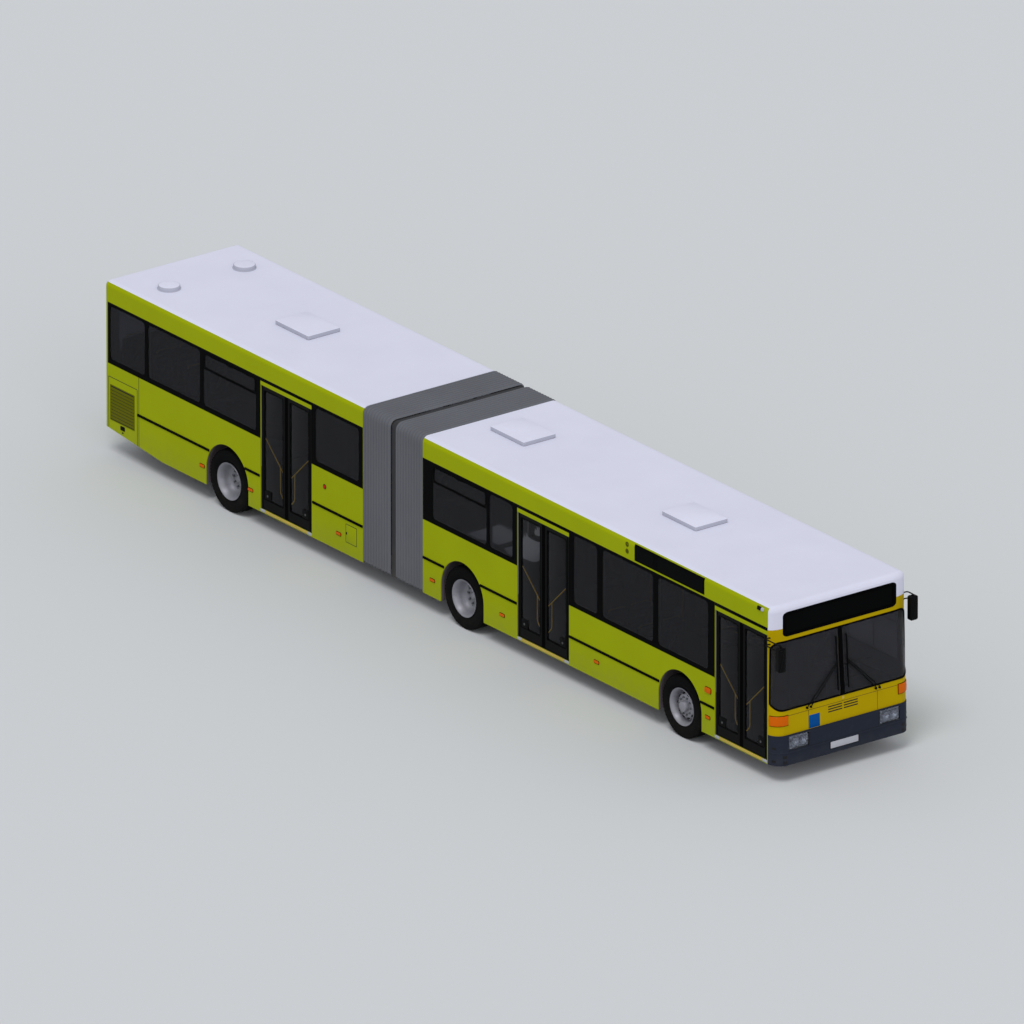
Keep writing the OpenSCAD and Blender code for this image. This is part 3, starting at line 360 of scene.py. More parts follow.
def finish(name, colour, rough, grain, drift=0.04, film=0.0, film_height=0.9,
           scuffs=None, above=None, flecks=None, inside=None, **shader):
    """A material: colour with drift, film and scuffs; grain is its scale, depth and bump distance.

    A colour of three numbers is from the chart, and one of four is a shader colour already.
    """
    colour = linear(*colour) if len(colour) == 3 else colour
    m = bpy.data.materials.new(name)
    m.use_nodes = True
    t = m.node_tree
    bsdf = t.nodes["Principled BSDF"]
    for socket, value in shader.items():
        bsdf.inputs[socket.replace("_", " ")].default_value = value
    ground = None
    if above:
        ground = put(t, "ShaderNodeGroup", enumerate((colour, *above)), node_tree=split)
    if flecks:
        ground = put(t, "ShaderNodeGroup", enumerate((colour, *flecks)), node_tree=fleck)
    part = put(t, "ShaderNodeGroup", [("Colour", colour), ("Roughness", rough), ("Drift", drift),
                                      ("Film Height", film_height), ("Film", film)], node_tree=tone)
    if ground:
        t.links.new(ground.outputs[0], part.inputs["Colour"])
    colour_out = part.outputs["Colour"]
    if scuffs:
        worn_colour, *pattern = scuffs
        worn = put(t, "ShaderNodeGroup", enumerate(pattern), node_tree=scuff)
        colour_out = mixed(t, worn, colour_out, worn_colour)
    if inside:
        links = zip(("Colour", "Lining", "Half Width", "Top", "Rear", "Front"), (colour_out, *inside))
        colour_out = put(t, "ShaderNodeGroup", links, node_tree=lined).outputs[0]
    t.links.new(colour_out, bsdf.inputs["Base Color"])
    t.links.new(part.outputs["Roughness"], bsdf.inputs["Roughness"])
    scale, depth, distance = grain
    fine = put(t, "ShaderNodeGroup", [("Scale", scale), ("Depth", depth)], node_tree=relief)
    bump = put(t, "ShaderNodeBump", [("Height", fine), ("Strength", 0.5), ("Distance", distance)])
    t.links.new(bump.outputs[0], bsdf.inputs["Normal"])
    return m



print("finish() is ready")

# %% [markdown]
# The body is sprayed in solid colour. The roof's white starts half way up its rounded edge,
# which is where the painter masks it, so the roof's material changes colour at that height. The
# front mask is yellow below a line that runs through the destination sign, and white above.

# %% Paints
GREEN, YELLOW = linear(152, 163, 0), linear(176, 150, 0)
WHITE = linear(214, 214, 230)
LINING = linear(150, 152, 150)
SOFT = {"Specular_IOR_Level": 0.04}
# The green's inner faces are lined grey, and below 1 m they take the darker grey that is painted shade of
# the wheel arches.
green_paint = finish("green_paint", GREEN, 0.42, (45, 1, 0.0015), 0.03, 0.2, 0.75,
                     inside=(LINING, SIDE_Y - 0.014, 100.0, REAR_X + 0.02, 100.0), **SOFT)
yellow_paint = finish("yellow_paint", YELLOW, 0.4, (45, 1, 0.0015), 0.03, 0.12, 0.8, **SOFT)
roof_paint = finish("roof_paint", GREEN, 0.45, (40, 1, 0.002), 0.02, above=(WHITE, 2.738, SEAM_X),
                    inside=(LINING, SIDE_Y - 0.11, ROOF_Z - 0.012, REAR_X + 0.1, SEAM_X - 0.05), **SOFT)
mask_paint = finish("mask_paint", YELLOW, 0.4, (45, 1, 0.0015), 0.03, 0.12, 0.8,
                    above=(WHITE, 2.405, 100.0), **SOFT)
# Hatch lids and roof vents are white only on top; below ROOF_Z + 0.0605 their flanks take a blue-grey that
# is painted shade.
lid_paint_shaded_flanks = finish("lid_paint_shaded_flanks", (176, 177, 190), 0.45, (40, 1, 0.002), 0.03,
                   above=(WHITE, ROOF_Z + 0.0605, 100.0), **SOFT)
bumper_paint = finish("bumper_paint", (37, 42, 54), 0.45, (60, 1, 0.002), 0.06, 0.10, 0.6,
                      scuffs=(linear(62, 66, 76), 9.0, 0.25), **SOFT)
flag_blue = finish("sign_blue", (4, 76, 144), 0.35, (60, 1, 0.001), **SOFT)
sill_yellow = finish("sill_yellow", (196, 168, 60), 0.5, (180, 1, 0.003), 0.12, 0.2, 0.6,
                     scuffs=(linear(110, 100, 70), 20.0, 0.5))
rail_yellow = finish("rail_yellow", (214, 172, 20), 0.35, (120, 1, 0.0008), 0.05)
pale_trim = finish("pale_trim", (170, 172, 184), 0.45, (90, 1, 0.001), 0.05, 0.15, 0.5)
print("paints:", [m.name for m in bpy.data.materials][-6:])

# %% [markdown]
# Rubber, plastics, metals, fabric and vinyl. The window surrounds are printed on glass, so they are
# black and glossy; seals and strips are matt. Wheels are silver paint over steel.

# %% Trims, metals and fabrics
band_black = finish("band_black", (3, 3, 4), 0.25, (30, 1, 0.0004), 0.0, Specular_IOR_Level=0.015)
rubber = finish("rubber", (6, 6, 7), 0.7, (240, 1, 0.0015), 0.1, 0.02, 0.6, Specular_IOR_Level=0.02)
black_plastic = finish("black_plastic", (7, 7, 8), 0.55, (300, 1, 0.0012), 0.06, Specular_IOR_Level=0.07)
# This black is the real dark of seams and joints; on the hole and slot plates and behind grilles it is
# painted shade.
seam_and_shade_black = finish("seam_and_shade_black", (4, 4, 5), 0.9, (100, 1, 0.001), 0.0)
olive_slat = finish("olive_slat", (94, 96, 0), 0.5, (60, 1, 0.001), 0.06, 0.12, 0.9, **SOFT)
tyre_rubber = finish("tyre_rubber", (9, 9, 10), 0.85, (150, 1, 0.004), 0.12, 0.05, 0.7,
                     Specular_IOR_Level=0.06)
wheel_silver = finish("wheel_silver", (140, 139, 148), 0.42, (60, 1, 0.0015), 0.12, 0.22, 0.9,
                      scuffs=(linear(92, 88, 84), 16.0, 0.35), Metallic=0.4)
steel = finish("steel", (120, 122, 126), 0.35, (120, 1, 0.001), 0.08, Metallic=0.9)
cast_grey = finish("cast_grey", (56, 58, 62), 0.6, (90, 1, 0.004), 0.15, 0.35, 0.9)
chassis_black = finish("chassis_black", (42, 40, 42), 0.65, (50, 1, 0.004), 0.15, 0.45, 0.8)
bellows_fabric = finish("bellows_fabric", (98, 99, 105), 0.72, (330, 1, 0.003), 0.06, 0.12, 1.0,
                        Sheen_Weight=0.05, Specular_IOR_Level=0.15)
hoop_fabric = finish("hoop_fabric", (30, 29, 33), 0.6, (200, 1, 0.002), 0.06, 0.2, 0.9)
seat_shell = finish("seat_shell", (60, 66, 78), 0.45, (260, 1, 0.001), 0.04)
moquette = finish("moquette", (24, 44, 104), 0.9, (900, 1, 0.002), 0.08,
                  flecks=(linear(190, 150, 40), 120.0, 0.10), Sheen_Weight=0.4)
cab_grey = finish("cab_grey", (92, 96, 102), 0.55, (220, 1, 0.0015), 0.05)
lining = finish("lining", (196, 198, 196), 0.6, (80, 1, 0.001), 0.03)
engine_paint = finish("engine_paint", (86, 96, 100), 0.5, (70, 1, 0.004), 0.15,
                      scuffs=(linear(40, 36, 32), 12.0, 0.6))
print(len(bpy.data.materials), "finishes so far")

# %% [markdown]
# Glass and lamps. The panes are deeply tinted, so their colour is taken twice by each pane that
# light passes; a lamp lens is coloured and almost clear. Both keep plain transmission on the shader.

# %% Glass, lenses and mirrors
def clear_stuff(name, colour, rough, transmission=1.0, ior=1.45, **shader):
    """Glass or lens plastic: plain transmission, with a faint drift so that it isn't flat."""
    m = finish(name, colour, rough, (3.0, 1, 0.0006), 0.06, Specular_IOR_Level=0.08, **shader)
    bsdf = m.node_tree.nodes["Principled BSDF"]
    bsdf.inputs["Transmission Weight"].default_value = transmission
    bsdf.inputs["IOR"].default_value = ior
    return m


tinted_glass = clear_stuff("tinted_glass", (98, 98, 106), 0.05, 0.94, 1.15)
door_glass = clear_stuff("door_glass", (136, 136, 142), 0.04, 0.97, 1.15)
screen_glass = clear_stuff("screen_glass", (112, 112, 118), 0.05, 0.88, 1.15)
sign_glass = clear_stuff("sign_glass", (8, 9, 9), 0.1, 0.08, 1.15)
lamp_glass = clear_stuff("lamp_glass", (205, 208, 214), 0.05, 1.0, 1.3)
orange_lens = clear_stuff("orange_lens", (222, 104, 4), 0.18, 0.2, 1.3)
red_lens = clear_stuff("red_lens", (215, 18, 12), 0.2, 0.35)
white_lens = clear_stuff("white_lens", (218, 218, 228), 0.2, 0.35)
reflector = finish("reflector", (178, 180, 188), 0.2, (90, 1, 0.003), 0.05, Metallic=1.0)
mirror_glass = finish("mirror_glass", (205, 208, 212), 0.05, (3, 1, 0.0002), 0.0, Metallic=1.0)
floor_paint = finish("studio_floor", FLOOR_COLOUR, 0.85, (0.4, 1, 0.001), 0.0)
floor_mesh.materials.append(floor_paint)
print(len(bpy.data.materials), "finishes")

# %% [markdown]
# ## Making pieces
# A piece is a mesh whose place is in its vertices. The helpers below make the shapes a body shop
# uses: flat plates with a rolled edge, frames around an opening, turned rings and bent tubes. Each
# is a closed shell, and its normals are made to point outwards once, at the end.


def solid_mesh(name, shape):
    """A mesh from (vertices, faces) or a list of them, with closed shells turned outwards."""
    verts, faces = joined(*shape) if isinstance(shape, list) else shape
    mesh = bpy.data.meshes.new(name)
    mesh.from_pydata([tuple(v) for v in verts], [], faces)
    bm = bmesh.new()
    bm.from_mesh(mesh)
    bmesh.ops.remove_doubles(bm, verts=bm.verts, dist=1e-6)
    bmesh.ops.recalc_face_normals(bm, faces=bm.faces)
    bm.to_mesh(mesh)
    bm.free()
    return mesh


def piece(name, shape, paint, body="front_car", smooth=35.0):
    """A piece on a body; most are on the front car, so that is the default body."""
    return settle(linked(name, solid_mesh(name, shape)), paint, body, smooth)


def settle(made, paint, body, smooth=35.0):
    """Gives a finished object its material and lets it ride on its body, if it has one."""
    made.data.materials.clear()
    made.data.materials.append(paint)
    made.data.polygons.foreach_set("use_smooth", [True] * len(made.data.polygons))
    made.data.set_sharp_from_angle(angle=radians(smooth))
    if body:
        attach(made, body)
    return made


def joined(*shapes):
    """One (vertices, faces) from several."""
    verts, faces = [], []
    for v, f in shapes:
        faces += [tuple(i + len(verts) for i in face) for face in f]
        verts += list(v)
    return verts, faces


def moved(shape, by):
    return [Vector(v) + Vector(by) for v in shape[0]], shape[1]


def flipped(shape, axis=1):
    """The mirror image across the centre plane; normals are set again by piece()."""
    verts = [Vector([-c if k == axis else c for k, c in enumerate(v)]) for v in shape[0]]
    return verts, shape[1]


print("piece(), settle() and shape helpers are ready")

# %% Plates, frames, rings and tubes
def rounded(u0, u1, v0, v1, r, steps=5):
    """Corner points of a rounded rectangle, anticlockwise from the lower right."""
    r = min(r, (u1 - u0) / 2 - 1e-5, (v1 - v0) / 2 - 1e-5)
    loop = []
    for cu, cv, start in ((u1 - r, v0 + r, -90), (u1 - r, v1 - r, 0), (u0 + r, v1 - r, 90),
                          (u0 + r, v0 + r, 180)):
        for i in range(steps + 1):
            a = radians(start + 90 * i / steps)
            loop.append((cu + r * cos(a), cv + r * sin(a)))
    return loop


def lerp(a, b, t):
    return a + (b - a) * t


def stack(loops, close_ends=True):
    """A closed solid through loops of 3-D points that all have the same count."""
    n, faces = len(loops[0]), []
    for k in range(len(loops) - 1):
        for i in range(n):
            j = (i + 1) % n
            faces.append((k * n + i, k * n + j, (k + 1) * n + j, (k + 1) * n + i))
    if close_ends:
        faces += [tuple(range(n)), tuple(range((len(loops) - 1) * n, len(loops) * n))]
    return [p for loop in loops for p in loop], faces


def inset(loop, by):
    """The loop moved inwards by a distance, corner by corner."""
    n, moved_in = len(loop), []
    for i in range(n):
        a, b, c = Vector(loop[i - 1]), Vector(loop[i]), Vector(loop[(i + 1) % n])
        d = ((b - a).normalized() + (c - b).normalized())
        d = d.normalized() if d.length > 1e-9 else (c - b).normalized()
        half = max(0.3, abs(d.dot((c - b).normalized())))
        moved_in.append(tuple(b + Vector((-d.y, d.x)) * (by / half)))
    return moved_in


def plate(side, loop, d0, d1, edge=0.003):
    """A plate on a surface: side(u, v, d) is a point at depth d outside it; the edge is rolled."""
    edge = min(edge, (d1 - d0) * 0.8)
    return stack([[side(u, v, d0) for u, v in loop],
                  [side(u, v, d1 - edge) for u, v in loop],
                  [side(u, v, d1 - 0.3 * edge) for u, v in inset(loop, 0.3 * edge)],
                  [side(u, v, d1) for u, v in inset(loop, edge)]])


def ring_plate(side, outer, inner, d0, d1, edge=0.002):
    """A flat frame between two loops with the same number of points."""
    loops = [[side(u, v, d0) for u, v in outer], [side(u, v, d1 - edge) for u, v in outer],
             [side(u, v, d1) for u, v in inset(outer, edge)],
             [side(u, v, d1) for u, v in inset(inner, -edge)], [side(u, v, d1 - edge) for u, v in inner],
             [side(u, v, d0) for u, v in inner]]
    n, k = len(outer), len(loops)
    faces = [(a * n + i, a * n + (i + 1) % n, (a + 1) % k * n + (i + 1) % n, (a + 1) % k * n + i)
             for a in range(k) for i in range(n)]
    return [p for loop in loops for p in loop], faces


def turned(profile, steps=64, centre=(0, 0, 0), axis="Y", closed=True):
    """A solid turned about an axis from (radius, along) points; closed joins last to first."""
    verts, faces, n = [], [], len(profile)
    for s in range(steps):
        a = 2 * pi * s / steps
        for r, along in profile:
            p = {"Y": (r * cos(a), along, r * sin(a)), "Z": (r * cos(a), r * sin(a), along),
                 "X": (along, r * cos(a), r * sin(a))}[axis]
            verts.append(tuple(p[k] + centre[k] for k in range(3)))
    for s in range(steps):
        t = (s + 1) % steps
        for i in range(n if closed else n - 1):
            j = (i + 1) % n
            faces.append((s * n + i, s * n + j, t * n + j, t * n + i))
    return verts, faces


def tube(points, radius, sides=12, rounds=4, bend=0.04):
    """A bent bar along points, with its corners rounded to the bend radius and its ends closed."""
    pts = [Vector(p) for p in points]
    line = [pts[0]]
    for a, b, c in zip(pts, pts[1:], pts[2:]):
        back, ahead = (a - b), (c - b)
        cut_off = min(bend, back.length * 0.45, ahead.length * 0.45)
        p, q = b + back.normalized() * cut_off, b + ahead.normalized() * cut_off
        line += [(1 - t) ** 2 * p + 2 * t * (1 - t) * b + t * t * q
                 for t in [i / rounds for i in range(rounds + 1)]]
    line.append(pts[-1])
    side = (line[1] - line[0]).cross(Vector((0.31, 0.42, 0.85))).normalized()
    loops = []
    for i, p in enumerate(line):
        along = (line[min(i + 1, len(line) - 1)] - line[max(i - 1, 0)]).normalized()
        side = (side - along * side.dot(along)).normalized()
        other = along.cross(side)
        loops.append([tuple(p + radius * (cos(a) * side + sin(a) * other))
                      for a in [2 * pi * k / sides for k in range(sides)]])
    return stack(loops)


def right_side(u, v, d):
    return (u, -SIDE_Y - d, v)


def left_side(u, v, d):
    return (u, SIDE_Y + d, v)


def rear_face(u, v, d):
    return (REAR_X - d, u, v)


def roof_face(u, v, d):
    return (u, v, ROOF_Z + d)


print("plates, frames, rings and tubes are ready")

# %% [markdown]
# ## Skins of the CAD nodes
# The walls are flat, so their CAD nodes stay and only get paint. Nodes with rounded edges are
# copied and welded, and a Weighted Normal modifier lets the large flat faces win over the small
# curved ones, so that a long roof edge shades as one round without darkening the flat top.

# %% Skins
def skin(node, paint, body, angle=28.0, name=None, keep=None):
    """A welded, smoothly shaded copy of a CAD node, which it replaces; keep picks faces by centre."""
    mesh = NODES[node].data.copy()
    bm = bmesh.new()
    bm.from_mesh(mesh)
    if keep:
        bmesh.ops.delete(bm, geom=[f for f in bm.faces if not keep(f.calc_center_median())],
                         context="FACES")
    bmesh.ops.remove_doubles(bm, verts=bm.verts, dist=2e-5)
    bmesh.ops.dissolve_limit(bm, angle_limit=radians(0.4), verts=bm.verts, edges=bm.edges)
    bm.to_mesh(mesh)
    bm.free()
    copy = linked(name or node + "_skin", mesh)
    mesh.polygons.foreach_set("use_smooth", [True] * len(mesh.polygons))
    mesh.set_sharp_from_angle(angle=radians(angle))
    weighted = copy.modifiers.new("flat faces first", "WEIGHTED_NORMAL")
    weighted.keep_sharp, weighted.weight = True, 90
    bake(copy)
    copy.data.materials.clear()
    copy.data.materials.append(paint)
    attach(copy, body)
    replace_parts(copy, node)
    return copy


def bake(obj):
    """Turns an object and its modifiers into a plain mesh."""
    graph = bpy.context.evaluated_depsgraph_get()
    graph.update()
    made = bpy.data.meshes.new_from_object(obj.evaluated_get(graph), preserve_all_data_layers=True,
                                           depsgraph=graph)
    obj.modifiers.clear()
    obj.data = made
    return obj


def repaint(node, paint):
    """Gives a kept CAD node its material."""
    NODES[node].data.materials.clear()
    NODES[node].data.materials.append(paint)


for node in ("front_right_wall", "front_left_wall", "rear_right_wall", "rear_left_wall"):
    repaint(node, green_paint)
skin("front_roof", roof_paint, "front_car")
skin("rear_roof", roof_paint, "rear_car")
skin("rear_wall", green_paint, "rear_car")
skin("front_mask", mask_paint, "front_car")
skin("front_bumper", bumper_paint, "front_car")
SIGN_FOOT = 2.23
skin("windscreen", screen_glass, "front_car", name="windscreen_panes",
     keep=lambda centre: centre.z < SIGN_FOOT)
skin("windscreen", sign_glass, "front_car", name="sign_pane",
     keep=lambda centre: centre.z >= SIGN_FOOT)
repaint("front_side_glass", tinted_glass)
repaint("rear_glass", tinted_glass)
print("skins made; walls and panes repainted")

# %% [markdown]
# The chassis and the inside. The floor's top is vinyl and its underside is chassis paint made pale,
# which is painted light: it lifts the wheelhouses out of their shade. The node's material looks at
# the surface normal's height instead of needing a second mesh.

# %% Floor, chassis and cab
def floor_finish():
    """Vinyl where a surface faces up inside the body; elsewhere chassis paint made pale, which is painted
    light.
    """
    # The pale grey here is painted light: it brightens the wheelhouses, which lie in shade.
    m = finish("floor_and_frame", (118, 108, 112), 0.6, (90, 1, 0.002), 0.1)
    t = m.node_tree
    shader = t.nodes["Principled BSDF"]
    facing = put(t, "ShaderNodeSeparateXYZ", [(0, put(t, "ShaderNodeTexCoord").outputs["Normal"])])
    top = maths(t, "GREATER_THAN", facing.outputs["Z"], 0.7)
    vinyl = (linear(74, 78, 84), linear(98, 102, 108), 300.0, 0.12)
    dots = put(t, "ShaderNodeGroup", enumerate(vinyl), node_tree=fleck)
    under = shader.inputs["Base Color"].links[0].from_socket
    both = mixed(t, top, under, dots)
    t.links.new(both, shader.inputs["Base Color"])
    return m


floor_and_frame = floor_finish()
for node in ("front_underframe", "rear_underframe"):
    repaint(node, floor_and_frame)
for node, body in (("front_axles", "front_car"), ("rear_axle", "rear_car"),
                   ("left_knuckle", "left_knuckle"), ("right_knuckle", "right_knuckle")):
    skin(node, chassis_black, body)
for door in ("front", "middle", "rear"):
    for end in ("fore", "aft"):
        skin(f"{door}_door_{end}_column", black_plastic, f"{door}_door_{end}_column")
skin("turntable", cast_grey, "articulation")
skin("bellows_hoop", hoop_fabric, "articulation")
skin("driver_cab", cab_grey, "front_car")
skin("steering_wheel", black_plastic, "steering_wheel")
repaint("engine", engine_paint)
print("chassis, cab and articulation are painted")

# %% [markdown]
# ## Geometry Nodes for what repeats
# Two trees serve the whole bus. One places a small shape in a row, the other in a ring about a
# wheel's axle line. Each has named inputs, ends in Realize Instances and Set Material, and its
# result is turned into a plain mesh before the piece rides on a body.

# %% The row and the ring
def geometry_tree(name, **inputs):
    """A new geometry tree whose inputs have these names and kinds, and its inputs from inside."""
    tree = bpy.data.node_groups.new(name, "GeometryNodeTree")
    for label, kind in inputs.items():
        tree.interface.new_socket(name=label, in_out="INPUT", socket_type=f"NodeSocket{kind}")
    tree.interface.new_socket(name="Geometry", in_out="OUTPUT", socket_type="NodeSocketGeometry")
    return tree, tree.nodes.new("NodeGroupInput").outputs


def end_tree(tree, instances, paint):
    """Realize Instances and Set Material, as every tree ends."""
    real = put(tree, "GeometryNodeRealizeInstances", [(0, instances)])
    painted = put(tree, "GeometryNodeSetMaterial", [(0, real), ("Material", paint)])
    put(tree, "NodeGroupOutput", [(0, painted)])


row_tree, g_in = geometry_tree("row_of", Shape="Object", Count="Int", Start="Vector", Step="Vector",
                               Paint="Material")
shape = put(row_tree, "GeometryNodeObjectInfo", [("Object", g_in["Shape"])])
line = put(row_tree, "GeometryNodeMeshLine",
           [("Count", g_in["Count"]), ("Start Location", g_in["Start"]), ("Offset", g_in["Step"])])
placed = put(row_tree, "GeometryNodeInstanceOnPoints",
             [("Points", line), ("Instance", shape.outputs["Geometry"])])
end_tree(row_tree, placed.outputs[0], g_in["Paint"])

ring_tree, g_in = geometry_tree("ring_of", Shape="Object", Count="Int", Paint="Material")
shape = put(ring_tree, "GeometryNodeObjectInfo", [("Object", g_in["Shape"])])
points = put(ring_tree, "GeometryNodeMeshLine", [("Count", g_in["Count"]), ("Offset", (0, 0, 0))])
step = maths(ring_tree, "DIVIDE", 2 * pi, g_in["Count"])
index = put(ring_tree, "GeometryNodeInputIndex")
angle = maths(ring_tree, "MULTIPLY", index, step)
about_y = put(ring_tree, "ShaderNodeCombineXYZ", [("Y", angle)])
placed = put(ring_tree, "GeometryNodeInstanceOnPoints",
             [("Points", points), ("Instance", shape.outputs["Geometry"]), ("Rotation", about_y)])
end_tree(ring_tree, placed.outputs[0], g_in["Paint"])
print("trees:", row_tree.name, ring_tree.name)


# %% Using a tree
def grown(name, tree, values):
    """An object that a tree makes from named values, as a plain mesh."""
    obj = linked(name, bpy.data.meshes.new(name))
    modifier = obj.modifiers.new(tree.name, "NODES")
    modifier.node_group = tree
    sockets = {s.name: s.identifier for s in tree.interface.items_tree if s.in_out == "INPUT"}
    for label, value in values.items():
        modifier[sockets[label]] = value
    return bake(obj)


def repeated(name, tree, shape, **values):
    """An object in which a tree repeats one small shape."""
    small = linked("unit", solid_mesh("unit", shape))
    made = grown(name, tree, {"Shape": small, **values})
    bpy.data.objects.remove(small)
    return made


def row(name, shape, count, start, step, paint, body="front_car"):
    """A row of one shape: count of them, from start, a step apart."""
    made = repeated(name, row_tree, shape, Count=count, Start=start, Step=step, Paint=paint)
    return settle(made, paint, body)


def ring_mesh(shape, count, paint):
    """The vertices and faces of a ring of one shape about the Y axis."""
    made = repeated("ring", ring_tree, shape, Count=count, Paint=paint)
    data = made.data
    result = [v.co.copy() for v in data.vertices], [tuple(p.vertices) for p in data.polygons]
    bpy.data.objects.remove(made)
    return result


print("row() and ring_mesh() are ready")

# %% [markdown]
# ## Window bands
# The side windows of such a bus are bonded panes with a printed black edge, so the row of them
# reads as one black band. Each pane gets a flat frame that runs to the middle of the gap to its
# neighbour and laps a few millimetres over the glass. Frames of one band share their edges.

# %% Window bands
BAND_TOP, PANE_TOP = 2.435, 2.39
TALL, LOW = 1.307, 1.53
SILL_TALL, SILL_LOW = 1.24, 1.457
PANE_R, LAP = 0.07, 0.006
CAR_END, REAR_START, BAND_END = 8.459, 9.947, 16.317


def band(side, front_at, rear_at, sill, panes, low):
    """The black band from front_at to rear_at, with a frame for each pane."""
    shapes = []
    for k, (a, b) in enumerate(panes):
        ahead = front_at if k == 0 else (panes[k - 1][1] + a) / 2
        behind = rear_at if k == len(panes) - 1 else (b + panes[k + 1][0]) / 2
        shapes.append(ring_plate(side, rounded(at(behind), at(ahead), sill, BAND_TOP, 0.0008),
                                 rounded(at(b) + LAP, at(a) - LAP, low + LAP, PANE_TOP - LAP, PANE_R - LAP),
                                 0.0003, 0.0022, 0.0005))
    return joined(*shapes)


RF_TALL = [(1.45, 2.683), (2.793, 4.04), (4.16, 4.743)]
RF_LOW = [(6.243, 6.817), (6.883, 8.217)]
LF_TALL = [(0.07, 1.35), (1.45, 2.683), (2.793, 4.04)]
LF_LOW = [(4.16, 5.4), (5.5, 6.817), (6.883, 8.217)]
RR_A, RR_B = [(10.04, 11.127)], [(12.6, 13.917), (14.0, 15.307), (15.383, 16.26)]
LR = [(10.04, 11.127), (11.227, 12.49)] + RR_B
DOORS = {"front": 0.65, "middle": 5.495, "rear": 11.859}
DOOR_HALF = 0.638
SIDES = {"right": right_side, "left": left_side}
BANDS = {"front_right": [(1.292, 4.857, SILL_TALL, RF_TALL, TALL), (6.133, CAR_END, SILL_LOW, RF_LOW, LOW)],
         "front_left": [(0.012, 4.1, SILL_TALL, LF_TALL, TALL), (4.1, CAR_END, SILL_LOW, LF_LOW, LOW)],
         "rear_right": [(REAR_START, 11.221, SILL_LOW, RR_A, LOW), (12.497, BAND_END, SILL_LOW, RR_B, LOW)],
         "rear_left": [(REAR_START, BAND_END, SILL_LOW, LR, LOW)]}


def car_and_side(name):
    """The body and the surface that a name such as rear_left stands for."""
    car, hand = name.split("_")
    return f"{car}_car", SIDES[hand]


for name, bands in BANDS.items():
    car, side = car_and_side(name)
    piece(f"{name}_bands", [band(side, *values) for values in bands], band_black, car)
print("bands:", len(BANDS), "pieces,", sum(len(b[3]) for bands in BANDS.values() for b in bands), "panes")

# %% [markdown]
# Above each door the black band narrows to a line, and a green strip of the header shows below it.
# Some windows open: a hopper hinged at the foot of the pane's upper part, in a black frame with
# a catch at its middle.

# %% Door headers and hoppers
def box_plate(side, u0, u1, v0, v1, d0, d1, edge=0.002, r=0.002):
    return plate(side, rounded(u0, u1, v0, v1, r, 2), d0, d1, edge)


for car, names in (("front", ("front", "middle")), ("rear", ("rear",))):
    lines = []
    for door in names:
        fore, aft = at(DOORS[door] - DOOR_HALF), at(DOORS[door] + DOOR_HALF)
        lines.append(box_plate(right_side, aft, min(fore, SEAM_X - 0.002), 2.383, BAND_TOP, 0.0003,
                               0.0022, 0.0005))
    piece(f"{car}_door_headers", lines, band_black, f"{car}_car")


def hopper(side, a, b):
    """Frame, bar and catch of one opening light in the pane between stations a and b."""
    u0, u1, bar = at(b) + 0.012, at(a) - 0.012, 2.135
    frame_part = ring_plate(side, rounded(u0, u1, bar, PANE_TOP - 0.008, 0.055),
                            rounded(u0 + 0.026, u1 - 0.026, bar + 0.018, PANE_TOP - 0.034, 0.032),
                            -0.003, 0.004)
    bar_part = box_plate(side, u0, u1, bar - 0.018, bar + 0.006, -0.003, 0.006, 0.003)
    middle = (u0 + u1) / 2
    catch = box_plate(side, middle - 0.05, middle + 0.05, PANE_TOP - 0.042, PANE_TOP - 0.020, 0.002,
                      0.012, 0.004, 0.008)
    return joined(frame_part, bar_part, catch)


HOPPERS = {"front": [(right_side, *RF_LOW[1]), (left_side, *LF_LOW[2]), (left_side, *LF_TALL[2])],
           "rear": [(right_side, *RR_B[0]), (left_side, *LR[2]), (left_side, *LR[0])]}
for car, places in HOPPERS.items():
    piece(f"{car}_hoppers", [hopper(*values) for values in places], rubber, f"{car}_car")
driver_bar = box_plate(left_side, at(0.72) - 0.013, at(0.72) + 0.013, TALL + 0.004, PANE_TOP - 0.004,
                       -0.003, 0.004)
driver_rail = box_plate(left_side, at(1.34), at(0.08), 1.86, 1.885, -0.003, 0.004)
piece("driver_window_bars", [driver_bar, driver_rail], rubber)
print("headers and hoppers are in place")

# %% [markdown]
# ## Side fittings
# A rubber strip protects the skirt panels and stops at every arch and door. Markers, flashers and
# small lamps sit in shallow dark bezels, and their lenses are crowned plates.

# %% Rub strips, markers and flashers
ARCHES = {"front": 2.14, "middle": 7.49, "rear": 13.33}
ARCH_Z, ARCH_CLEAR = 0.537, 0.542


def arch_edge(z):
    """How far a strip's end stays from the axle at a height, just clear of the arch."""
    return sqrt(max(0.0, ARCH_CLEAR ** 2 - max(0.0, z - ARCH_Z) ** 2))


def strips(side, spans, z):
    """Strips between stations; a span's end may name an axle, whose arch it then meets."""
    shapes = []
    for a, b in spans:
        a = ARCHES[a] + arch_edge(z) if isinstance(a, str) else a
        b = ARCHES[b] - arch_edge(z) if isinstance(b, str) else b
        shapes.append(box_plate(side, at(b), at(a), z - 0.02, z + 0.02, -0.001, 0.014, 0.007, 0.004))
    return joined(*shapes)


